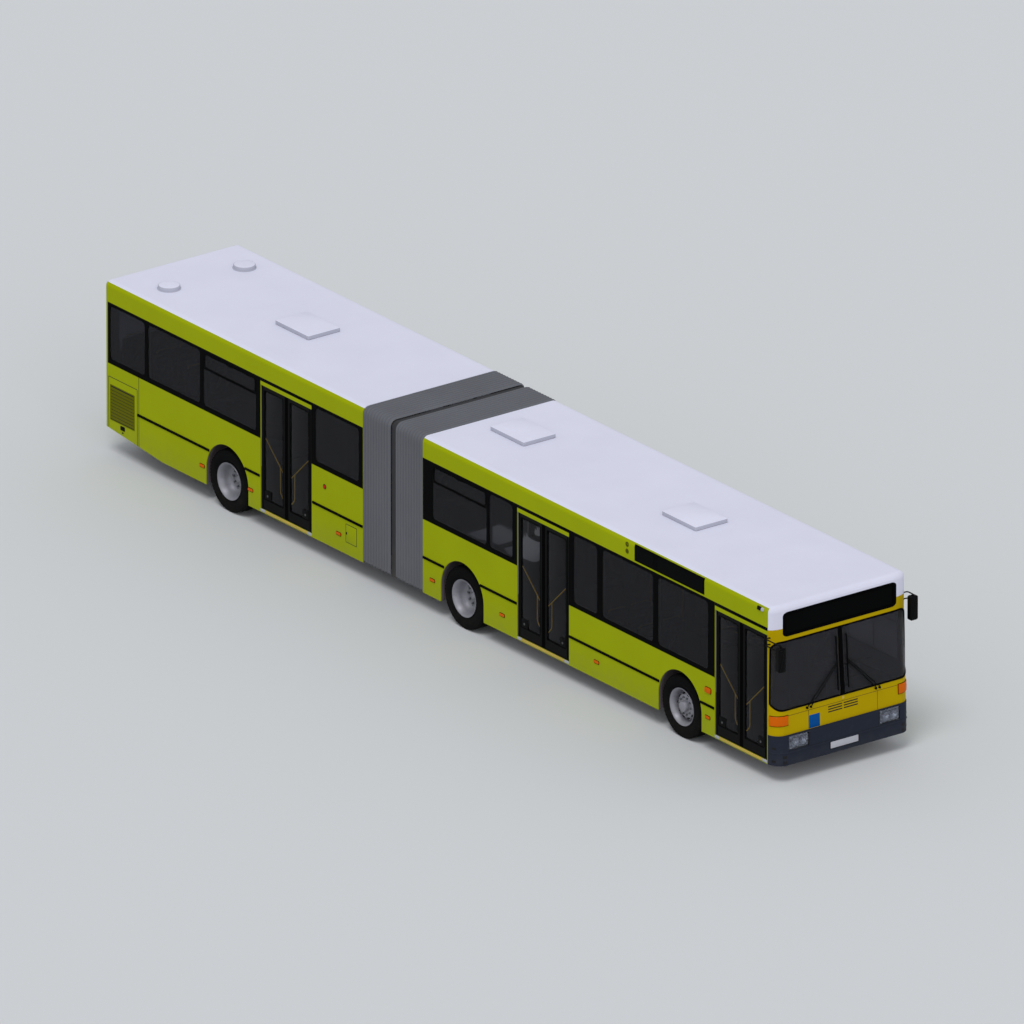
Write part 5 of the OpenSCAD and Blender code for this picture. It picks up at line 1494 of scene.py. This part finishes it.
def mirror(head_x, hand, low_z):
    """Head, glass and arm of one mirror; hand is +1 for the left side."""
    y, top = MIRROR_OUT - MIRROR_WIDE / 2, low_z + MIRROR_TALL
    outline = rounded(y - MIRROR_WIDE / 2, y + MIRROR_WIDE / 2, low_z, top, 0.028)
    back_x, front_x = head_x - MIRROR_DEEP / 2, head_x + MIRROR_DEEP / 2
    shell = [(outline, front_x - 0.012), (outline, back_x + 0.004), (inset(outline, 0.003), back_x),
             (inset(outline, 0.010), back_x), (inset(outline, 0.012), back_x + 0.010)]
    nose = [(inset(outline, 0.034), front_x), (inset(outline, 0.020), front_x - 0.001),
            (inset(outline, 0.007), front_x - 0.005)]
    head = stack([[(x, hand * a, b) for a, b in loop] for loop, x in nose + shell])
    glass_loop = inset(outline, 0.0125)
    glass = stack([[(x, hand * a, b) for a, b in glass_loop] for x in (back_x + 0.0095, back_x + 0.006)])
    levels, arms = (top + 0.022, top - 0.080), []
    for z in levels:
        bends = [(ARM_ROOT_X, hand * (SIDE_Y - 0.040), z), (ARM_ROOT_X, hand * y, z), (head_x, hand * y, z)]
        arms.append(tube(bends + ([(head_x, hand * y, top - 0.005)] if z > top else []), ARM_R, 14, 6,
                         0.05))
    clamp = turned([(0.0, -0.014), (0.016, -0.014), (0.018, -0.010), (0.018, 0.010), (0.016, 0.014),
                    (0.0, 0.014)], 18, (head_x, hand * y, top + 0.006), "Z", closed=False)
    socket = turned([(0.0, -0.016), (0.019, -0.016), (0.019, 0.012), (0.013, 0.020), (0.0, 0.020)], 18,
                    axis="Y", closed=False)
    sockets = [moved(socket, (ARM_ROOT_X, 1.222, z)) for z in levels]
    sockets = sockets if hand > 0 else [flipped(part) for part in sockets]
    return joined(head, clamp, *sockets), glass, joined(*arms)


near = mirror(SEAM_X + 0.395, -1, 1.882)
far = mirror(SEAM_X + 0.150, 1, 2.004)
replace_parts(piece("mirror_heads", [near[0], far[0], near[2], far[2]], black_plastic), "mirrors")
piece("mirror_glasses", [near[1], far[1]], mirror_glass)
print("mirrors are on their arms")

# %% [markdown]
# Each wiper is a parallelogram of two thin arms, which keeps its blade upright as it sweeps. The
# arms turn on pivots below the windscreen, and the blade is a rubber lip in a jointed steel holder.

# %% Wipers
PIVOT_Z, BLADE_LOW, BLADE_LONG, BLADE_Y = 1.095, 1.24, 0.83, 0.095
LIP_SECTION = ((-0.0015, 0.0045), (0.0015, 0.0045), (0.004, 0.021), (-0.004, 0.021))
SPINE_SECTION = ((-0.006, 0.020), (0.006, 0.020), (0.0075, 0.025), (0.0075, 0.036), (0.004, 0.041),
                 (-0.004, 0.041), (-0.0075, 0.036), (-0.0075, 0.025))


def off_front(y, z, d):
    """A point straight ahead of the flat front."""
    return (SEAM_X + front_outline(z)[0] + d, y, z)


arms, blades = [], []
for hand in (-1, 1):
    joint_z = BLADE_LOW + BLADE_LONG / 2
    for outer in (0, 1):
        foot_y, head_y = hand * (0.600 + 0.070 * outer), hand * (BLADE_Y + 0.014 * outer)
        arms.append(tube([off_front(foot_y, PIVOT_Z, 0.026), off_front(foot_y, PIVOT_Z + 0.02, 0.030),
                          off_front(head_y, joint_z + 0.02 * outer, 0.034)], 0.0075, 10, 4, 0.03))
        root_x = off_front(foot_y, PIVOT_Z, 0.0)[0] - 0.002
        arms.append(turned([(0.0, 0.0), (0.016, 0.0), (0.016, 0.020), (0.0125, 0.026), (0.0125, 0.034),
                            (0.009, 0.038), (0.0, 0.038)], 20, (root_x, foot_y, PIVOT_Z), "X",
                           closed=False))
    arms.append(tube([off_front(hand * BLADE_Y, joint_z - 0.03, 0.034),
                      off_front(hand * (BLADE_Y + 0.014), joint_z + 0.04, 0.034)], 0.009, 10))
    steps = [lerp(BLADE_LOW, BLADE_LOW + BLADE_LONG, k / 14) for k in range(15)]
    blades += [stack([[off_front(hand * BLADE_Y + y, z, d) for y, d in section] for z in steps])
               for section in (LIP_SECTION, SPINE_SECTION)]
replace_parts(piece("wiper_arms", [*arms, *blades], black_plastic), "wipers")
print("wipers:", len(blades) // 2)

# %% [markdown]
# ## Roof
# Hatches let hot air out and are the upper way of escape. A hatch is a shallow tray that sits over
# a coaming, with a rubber seal below it. The two round covers at the rear are exhaust vents.

# %% Roof hatches and vents
for name, body in (("front_roof_hatch", "front_car"), ("middle_roof_hatch", "front_car"),
                   ("rear_roof_hatch", "rear_car")):
    low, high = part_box(name)
    tall = high.z - ROOF_Z
    outline = rounded(low.x, high.x, low.y, high.y, 0.022)
    lid_loops = [(0.032, tall - 0.014), (0.032, 0.004), (0.0, 0.004), (0.0, tall - 0.012),
                 (0.0035, tall - 0.004), (0.012, tall)]
    lid = stack([[roof_face(u, v, z) for u, v in (inset(outline, by) if by else outline)]
                 for by, z in lid_loops])
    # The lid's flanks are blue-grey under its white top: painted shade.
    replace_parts(piece(f"{name}_lid", lid, lid_paint_shaded_flanks, name), name)
    seal = ring_plate(roof_face, inset(outline, 0.004), inset(outline, 0.027), -0.001, 0.0035, 0.001)
    piece(f"{name}_seal", seal, rubber, body)
    inner = inset(outline, 0.034)
    piece(f"{name}_liner", ring_plate(roof_face, inner, inset(inner, 0.010), tall - 0.026, tall - 0.0145,
                                      0.002), lining, name)
    bends = ((0.12, 0.016), (0.12, 0.048), (0.34, 0.048), (0.34, 0.016))
    bars = [tube([roof_face(low.x + x, y, tall - drop) for x, drop in bends], 0.007, 10, 4, 0.02)
            for y in (-0.14, 0.14)]
    piece(f"{name}_handles", bars, rail_yellow, name)
drum = [(0.0, -0.001), (0.182, -0.001), (0.182, 0.004), (0.170, 0.008), (0.168, 0.050), (0.163, 0.058),
        (0.152, 0.062), (0.080, 0.064), (0.0, 0.0645)]
vents = [turned(drum, 56, (at(15.52), y, ROOF_Z), "Z", closed=False) for y in (-0.70, 0.70)]
# The vents' flanks take the same blue-grey painted shade as the lids' sides.
piece("roof_vents", vents, lid_paint_shaded_flanks, "rear_car")
print("hatches and vents are on the roofs")

# %% [markdown]
# ## Service parts on the sides
# The side destination display reaches up round the roof's edge, so a second surface follows the
# wall and then that edge. The display is dark, and its glass has one post. Loudspeaker vents, a
# lamp over the front door, the outside door button and a filler flap follow.

# %% Display, vents, lamp and button on the right side
EDGE_R = ROOF_Z - WALL_TOP


def shoulder(u, v, d):
    """The right side, which rolls inwards above the wall; v is measured along the surface."""
    if v <= WALL_TOP:
        return (u, -SIDE_Y - d, v)
    bend = (v - WALL_TOP) / EDGE_R
    return (u, -(SIDE_Y - EDGE_R) - (EDGE_R + d) * cos(bend), WALL_TOP + (EDGE_R + d) * sin(bend))


def rolled(u0, u1, v0, v1, d0, d1, edge=0.002, steps=10):
    """A plate that follows the shoulder from v0 to v1, with its long edges rolled."""
    def section(v, by, top):
        return [shoulder(u, v, d) for u, d in ((u0 + by, d0), (u0 + by, top - edge), (u0 + by + edge, top),
                                               (u1 - by - edge, top), (u1 - by, top - edge), (u1 - by, d0))]
    heights = [lerp(v0 + edge, v1 - edge, k / steps) for k in range(steps + 1)]
    return stack([section(v0, edge, d1 - edge * 0.9)] + [section(v, 0.0, d1) for v in heights]
                 + [section(v1, edge, d1 - edge * 0.9)])


piece("side_sign_frame", rolled(at(3.250), at(1.547), 2.463, 2.723, -0.001, 0.004), band_black)
piece("side_sign_panes", [rolled(at(3.215), at(2.800), 2.492, 2.700, 0.0035, 0.0055, 0.0012),
                          rolled(at(2.683), at(1.585), 2.492, 2.700, 0.0035, 0.0055, 0.0012)],
      sign_glass)


def disc_loop(u, v, r, steps=28):
    return [(u + r * cos(a), v + r * sin(a)) for a in [2 * pi * k / steps for k in range(steps)]]


VENT_X, VENT_R, VENT_PITCH = at(3.433), 0.040, 0.013
vent_rings, vent_backs, vent_bars = [], [], []
for v in (2.553, 2.660):
    ring = disc_loop(VENT_X, v, VENT_R)
    vent_rings.append(ring_plate(shoulder, ring, inset(ring, 0.005), -0.001, 0.004, 0.002))
    vent_backs.append(plate(shoulder, inset(ring, 0.004), -0.001, 0.0015, 0.0005))
    for k in range(-2, 3):
        half, z = sqrt((VENT_R - 0.003) ** 2 - (VENT_PITCH * k) ** 2), v + VENT_PITCH * k
        outline = rounded(VENT_X - half, VENT_X + half, z - 0.0035, z + 0.0035, 0.002, 2)
        vent_bars.append(plate(shoulder, outline, 0.001, 0.0035, 0.001))
# Behind the bars each vent is a dark disc: painted shade of the opening.
piece("speaker_vents", vent_backs, seam_and_shade_black)
piece("speaker_grilles", [*vent_rings, *vent_bars], olive_slat)
piece("door_lamp_base", rolled(at(0.250), at(0.166), 2.660, 2.715, -0.001, 0.020, 0.006), black_plastic)
piece("door_lamp", rolled(at(0.160), at(0.100), 2.662, 2.712, -0.001, 0.022, 0.010), pale_trim)
button_ring = disc_loop(at(10.897), 1.19, 0.040)
piece("door_button_ring", ring_plate(right_side, button_ring, inset(button_ring, 0.012), -0.001, 0.006,
                                     0.003), black_plastic, "rear_car")
piece("door_button", plate(right_side, inset(button_ring, 0.011), -0.001, 0.009, 0.005), red_lens,
      "rear_car")
print("sign, vents, lamp and button are on the right side")

# %% [markdown]
# The engine compartment breathes through a grille in each side flap behind the last axle. Its
# slats slope down and out, so that rain runs off; they repeat, and come from the row tree.

# %% Flaps, grilles and latches
def panel_line(side, u0, u1, v0, v1):
    return box_plate(side, u0, u1, v0, v1, -0.001, 0.001, 0.0004, 0.0008)


GAP = 0.0052
FLAP_FORE, FLAP_AFT, FLAP_TOP, SEAM_FOOT = at(15.583), at(16.300), 1.247, 0.345
GRILLE_AFT, GRILLE_FORE = at(16.26), at(15.65)
SLAT_FOOT = 0.5865
SLAT_SECTION = ((0.0, 0.0012), (0.006, 0.009), (0.012, 0.010), (0.045, 0.0035), (0.045, 0.0012))
for hand, side in SIDES.items():
    seams = [panel_line(side, FLAP_AFT, FLAP_FORE, FLAP_TOP - GAP, FLAP_TOP + GAP)]
    seams += [panel_line(side, x - GAP, x + GAP, foot, top)
              for x, foot, top in ((FLAP_AFT, SEAM_FOOT + 0.09, FLAP_TOP), (FLAP_FORE, SEAM_FOOT, FLAP_TOP),
                                   (at(15.543), SEAM_FOOT, SILL_LOW))]
    piece(f"{hand}_flap_seams", seams, seam_and_shade_black, "rear_car")
    opening = rounded(GRILLE_AFT, GRILLE_FORE, 0.563, 1.130, 0.010)
    piece(f"{hand}_grille_frame", ring_plate(side, opening, inset(opening, 0.014), -0.001, 0.006, 0.003),
          olive_slat, "rear_car")
    # The dark plate behind the slats is painted shade of the engine bay.
    piece(f"{hand}_grille_back", plate(side, inset(opening, 0.012), -0.001, 0.001, 0.0005), seam_and_shade_black,
          "rear_car")
    ends = (GRILLE_AFT + 0.013, GRILLE_FORE - 0.013)
    slat_shape = stack([[side(u, SLAT_FOOT + v, d) for v, d in SLAT_SECTION] for u in ends])
    row(f"{hand}_grille_slats", slat_shape, 10, (0, 0, 0), (0, 0, 0.0515), olive_slat, "rear_car")
    latch = box_plate(side, at(16.0), at(15.895), 0.475, 0.540, -0.001, 0.010, 0.004, 0.010)
    pull = box_plate(side, at(15.965), at(15.93), 0.428, 0.446, -0.001, 0.007, 0.003, 0.006)
    piece(f"{hand}_flap_latch", [latch, pull], black_plastic, "rear_car")
filler = rounded(at(10.377), at(10.100), 0.473, 0.770, 0.012)
piece("filler_seam", ring_plate(right_side, filler, inset(filler, 0.010), -0.001, 0.001, 0.0004),
      seam_and_shade_black, "rear_car")
piece("filler_flap", plate(right_side, inset(filler, 0.010), -0.001, 0.0022, 0.001), green_paint,
      "rear_car")
piece("filler_latch", box_plate(right_side, at(10.362), at(10.338), 0.600, 0.640, 0.001, 0.007, 0.003,
                                0.006), black_plastic, "rear_car")
print("flaps, grilles and latches are on both sides")

# %% [markdown]
# ## Rear
# The rear window is set in rubber. Lamps stand in a column at each corner: brake, turn, reversing
# and tail lamps, one above the other, each a crowned lens in one black housing. The engine hatch
# has a louvred panel and two latches, and everything on it rides on the hatch's own body.

# %% Rear window, lamps and corners
def rear_plates(y, half_wide, v0, v1, r, d0, d1, edge):
    """The same plate at -y and at y, on the rear."""
    return [plate(rear_face, rounded(c - half_wide, c + half_wide, v0, v1, r), d0, d1, edge)
            for c in (-y, y)]


LAMP_COLUMN = 1.105
pane_loop = dense(rounded(-1.01, 1.01, 1.56, 2.35, 0.07, 6), 0.2)
piece("rear_window_rubber", gasket(rear_face, pane_loop, 0.016, 0.008), rubber, "rear_car")
lens_rows = (("red", 0.600, 0.735, red_lens), ("white", 0.745, 0.850, white_lens),
             ("orange", 0.860, 0.995, orange_lens), ("brake", 1.005, 1.140, red_lens))
housings = rear_plates(LAMP_COLUMN, 0.075, 0.585, 1.155, 0.02, -0.001, 0.0045, 0.002)
piece("tail_lamp_housings", housings, black_plastic, "rear_car")
for label, v0, v1, paint in lens_rows:
    lenses = rear_plates(LAMP_COLUMN, 0.062, v0, v1, 0.016, 0.002, 0.0085, 0.005)
    piece(f"tail_{label}_lenses", lenses, paint, "rear_car")
piece("high_lamps", rear_plates(1.02, 0.055, 2.47, 2.53, 0.016, -0.001, 0.007, 0.005), red_lens,
      "rear_car")
piece("rear_sign", plate(rear_face, rounded(-0.32, 0.32, 2.42, 2.60, 0.02), -0.001, 0.006, 0.003),
      sign_glass, "rear_car")
guards = rear_plates(1.0475, 0.1175, 0.432, 0.555, 0.014, -0.001, 0.0075, 0.005)
piece("rear_corner_guards", guards, bumper_paint, "rear_car")
skin("engine_hatch", green_paint, "engine_hatch")
louvre = [(0.0, -0.001), (0.006, 0.010), (0.014, 0.011), (0.034, 0.002), (0.034, -0.001)]
louvre_shape = stack([[rear_face(y, 0.86 + v, d - 0.001) for v, d in louvre] for y in (-0.60, 0.60)])
row("hatch_louvres", louvre_shape, 9, (0, 0, 0), (0, 0, 0.050), olive_slat, "engine_hatch")
louvre_ring = rounded(-0.625, 0.625, 0.840, 1.325, 0.020)
piece("hatch_louvre_frame", ring_plate(rear_face, louvre_ring, inset(louvre_ring, 0.018), -0.003, 0.006,
                                       0.003), olive_slat, "engine_hatch")
# The dark plate behind the louvres is painted shade of the space behind them.
piece("hatch_louvre_back", plate(rear_face, inset(louvre_ring, 0.016), -0.003, 0.0006, 0.0005),
      seam_and_shade_black, "engine_hatch")
piece("hatch_latches", rear_plates(0.55, 0.06, 0.50, 0.545, 0.012, -0.002, 0.008, 0.005), black_plastic,
      "engine_hatch")
piece("rear_plate_holder", plate(rear_face, rounded(-0.27, 0.27, 0.615, 0.745, 0.010), -0.002, 0.005,
                                 0.002), black_plastic, "engine_hatch")
piece("rear_plate", plate(rear_face, rounded(-0.258, 0.258, 0.627, 0.733, 0.008), 0.003, 0.0075, 0.002),
      white_lens, "engine_hatch")
print("window, lamps, guards and hatch are at the rear")

# %% [markdown]
# ## Inside
# Passenger seats are moulded shells with thin upholstered pads, two to a frame of steel tube. One
# pair is made about its own front edge, and the row tree repeats it along each side. Every second
# pair carries a pole up to the ceiling.

# %% Seats
SEAT_WALL, SEAT_WIDE, SEAT_PITCH, DECK_Z = 1.17, 0.414, 0.78, 0.90
POLE_TOP = ROOF_Z - 0.063


def seat_top(u, v, d):
    return (u, v, 0.416 + d)


def seat_back(u, v, d):
    return (-0.392 + d, u, v)


def block_of(loop, *levels):
    """A solid over a loop of (x, y) points through levels, each a height and how far it is inset."""
    return stack([[(x, y, z) for x, y in inset(loop, by)] for z, by in levels])


def cushion(side, loop, thick):
    """A crowned pad: its sides round over and its middle is a little higher than its edge."""
    steps = ((0.0, -0.002), (0.0, 0.35 * thick), (0.005, 0.70 * thick), (0.016, 0.90 * thick),
             (0.045, thick), (0.110, 1.12 * thick))
    return stack([[side(u, v, d) for u, v in (inset(loop, by) if by else loop)] for by, d in steps])


shell_line = [(0.0, 0.392), (0.0, 0.408), (-0.010, 0.416), (-0.360, 0.416), (-0.384, 0.430),
              (-0.390, 0.500), (-0.398, 0.994), (-0.404, 1.0), (-0.434, 1.0), (-0.440, 0.990),
              (-0.440, 0.400), (-0.430, 0.392)]


def seat_parts():
    """Shells, pads and frame of one pair on the left side, its front edge at x = 0 and floor at z = 0."""
    shells, pads, grips = [], [], []
    for k in (0, 1):
        y0 = SEAT_WALL - 0.84 + k * 0.426
        y1 = y0 + SEAT_WIDE
        shells.append(stack([[(x, y, z) for x, z in line] for y, line in (
            (y0, inset(shell_line, -0.004)), (y0 + 0.004, shell_line), (y1 - 0.004, shell_line),
            (y1, inset(shell_line, -0.004)))]))
        pads.append(cushion(seat_top, rounded(-0.352, -0.012, y0 + 0.018, y1 - 0.018, 0.05), 0.024))
        pads.append(cushion(seat_back, rounded(y0 + 0.018, y1 - 0.018, 0.500, 0.950, 0.05), 0.020))
        grips.append(tube([(-0.422, y0 + 0.06, 0.985), (-0.430, y0 + 0.06, 1.035),
                           (-0.430, y1 - 0.06, 1.035), (-0.422, y1 - 0.06, 0.985)], 0.009, 10, 4, 0.03))
    inner = SEAT_WALL - 0.82
    frame_tubes = [tube([(x, inner, 0.378), (x, SEAT_WALL + 0.014, 0.378)], 0.014, 12)
                   for x in (-0.10, -0.37)]
    leg_y = inner + 0.17
    frame_tubes += [tube([(top, leg_y, 0.378), (foot, leg_y, 0.012)], 0.014, 12)
                    for top, foot in ((-0.10, -0.20), (-0.37, -0.27))]
    foot = block_of(rounded(-0.33, -0.14, leg_y - 0.03, leg_y + 0.03, 0.012),
                    (0.0, 0.0005), (0.010, 0.0005), (0.014, 0.004))
    return joined(*shells), joined(*pads), joined(*frame_tubes, foot), joined(*grips)


collar = [(0.017, 0.0), (0.034, 0.0), (0.034, 0.006), (0.021, 0.012), (0.021, 0.030), (0.017, 0.030)]
shell_part, pad_part, frame_part, grip_part = seat_parts()
ROWS = {"front": [("left", 2.86, 5, FLOOR_Z, 2), ("right", 2.86, 2, FLOOR_Z, 1)],
        "rear": [("left", 10.02, 3, FLOOR_Z, 2), ("right", 10.02, 1, FLOOR_Z, 1),
                 ("deck_left", 14.06, 3, DECK_Z, 3), ("deck_right", 14.06, 3, DECK_Z, 3)]}
for car, rows in ROWS.items():
    poles = []
    for name, first, count, z, every in rows:
        hand = -1 if name.endswith("right") else 1
        for label, part, paint in (("shells", shell_part, seat_shell), ("pads", pad_part, moquette),
                                   ("frames", frame_part, steel), ("grips", grip_part, rail_yellow)):
            shape = part if hand > 0 else flipped(part)
            made = row(f"{car}_{name}_seat_{label}", shape, count, (at(first), 0, z),
                       (-SEAT_PITCH, 0, 0), paint, f"{car}_car")
            if label in ("shells", "frames"):
                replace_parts(made, f"{car}_seats")
        for k in range(0, count, every):
            x, y = at(first + k * SEAT_PITCH) - 0.415, hand * (SEAT_WALL - 0.83)
            poles.append(tube([(x, y, z + 0.94), (x, y, POLE_TOP)], 0.017, 16))
            poles.append(turned(collar, 20, (x, y, z + 0.95), "Z"))
            poles.append(turned([(r, -along) for r, along in collar], 20, (x, y, POLE_TOP), "Z"))
    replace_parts(piece(f"{car}_poles", poles, rail_yellow, f"{car}_car"), f"{car}_seats")
print("seat rows:", sum(len(r) for r in ROWS.values()), "pairs:",
      sum(r[2] for rows in ROWS.values() for r in rows))

# %% [markdown]
# The driver sits behind a dashboard with a hooded cluster of dials and rows of switches, on an
# upholstered seat, next to the ticket printer.

# %% The cab
def dash_top(u, v, d):
    return (u, v, 1.035 + d)


def driver_back(u, v, d):
    return (at(1.30) + d, u, v)


def driver_top(u, v, d):
    return (u, v, 0.975 + d)


DASH_X = at(0.30)
hood_section = ((0.0, 1.034), (0.0, 1.125), (0.03, 1.150), (0.12, 1.120), (0.18, 1.034))
hood = stack([[(DASH_X + x, y, z) for x, z in hood_section] for y in (0.42, 0.44, 1.00, 1.02)])
piece("dash_hood", hood, black_plastic)
dials = [turned([(0.0, -0.002), (r, -0.002), (r, 0.006), (r - 0.005, 0.006), (r - 0.006, 0.002),
                 (0.0, 0.002)], 28, axis="X", closed=False) for r in (0.05, 0.05, 0.028, 0.028)]
dial_places = ((0.64, 1.085), (0.80, 1.085), (0.54, 1.078), (0.90, 1.078))
dial_shapes = [moved(flipped(dial, 0), (DASH_X, y, z)) for dial, (y, z) in zip(dials, dial_places)]
piece("dash_dials", dial_shapes, white_lens)
switch = plate(dash_top, rounded(DASH_X, at(0.275), 0.08, 0.105, 0.004, 2), -0.001, 0.006, 0.003)
row("dash_switches", switch, 8, (0, 0, 0), (0, 0.038, 0), black_plastic)
printer = block_of(rounded(at(0.31), at(0.14), -0.26, -0.06, 0.02),
                   (1.034, 0.0005), (1.15, 0.0005), (1.165, 0.006), (1.17, 0.016))
piece("ticket_printer", printer, cab_grey)
piece("driver_cushions", [cushion(driver_top, rounded(at(1.29), at(0.845), 0.495, 0.945, 0.07), 0.045),
                          cushion(driver_back, rounded(0.495, 0.945, 1.03, 1.62, 0.07), 0.040)],
      moquette)
head_rest = stack([[(at(1.35) + x, y, z) for y, z in inset(rounded(0.60, 0.84, 1.66, 1.82, 0.05), by)]
                   for x, by in ((-0.035, 0.02), (-0.02, 0.004), (0.03, 0.004), (0.05, 0.02))])
stalks = [tube([(at(1.35), y, 1.62), (at(1.35), y, 1.70)], 0.007, 10) for y in (0.66, 0.78)]
piece("driver_head_rest", head_rest, moquette)
piece("head_rest_stalks", stalks, steel)
print("cab is fitted out")

# %% [markdown]
# Behind the engine hatch: belts run over pulleys on the engine's end, and pipes carry coolant and
# air. They are seen only when the hatch is open.

# %% Engine details
engine_low, engine_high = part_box("engine")
pulleys = []
for y, z, r in ((0.0, 0.56, 0.11), (-0.21, 0.66, 0.06), (0.20, 0.68, 0.055), (0.13, 0.46, 0.05)):
    wheel = turned([(0.0, 0.0), (0.022, 0.0), (0.024, 0.012), (r - 0.02, 0.014), (r - 0.012, 0.004),
                    (r, 0.004), (r - 0.008, 0.013), (r, 0.022), (r, 0.030), (r - 0.012, 0.030),
                    (r - 0.02, 0.022), (0.018, 0.024), (0.016, 0.038), (0.0, 0.038)], 40, axis="X",
                   closed=False)
    pulleys.append(moved(flipped(wheel, 0), (engine_low.x, y, z)))
belt_run = [(-0.21, 0.72), (0.20, 0.735), (0.245, 0.70), (0.10, 0.52), (-0.02, 0.45), (-0.10, 0.52),
            (-0.27, 0.66)]
belt = tube([(engine_low.x - 0.018, y, z) for y, z in belt_run + belt_run[:1]], 0.006, 8, 4, 0.04)
pipe_bends = ((0.10, -0.30, 0.79), (0.10, -0.30, 0.86), (0.10, 0.25, 0.86), (0.30, 0.28, 0.79))
pipe = tube([(engine_low.x + x, y, z) for x, y, z in pipe_bends], 0.030, 16, 6, 0.08)
piece("engine_pulleys", pulleys, steel, "rear_car")
piece("engine_belt", belt, rubber, "rear_car")
piece("engine_pipe", pipe, rubber, "rear_car")
COVER_AFT, COVER_FORE, COVER_FOOT = -8.10, -7.0, engine_high.z - 0.002
cover = block_of(rounded(COVER_AFT, COVER_FORE, -0.16, 0.16, 0.03),
                 (COVER_FOOT, 0.0005), (COVER_FOOT + 0.032, 0.0005), (COVER_FOOT + 0.044, 0.010))
piece("valve_cover", cover, cast_grey, "rear_car")
print("engine details are in place")

# %% [markdown]
# ## Size and finish
# The size with all of its pieces is measured.

low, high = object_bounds()
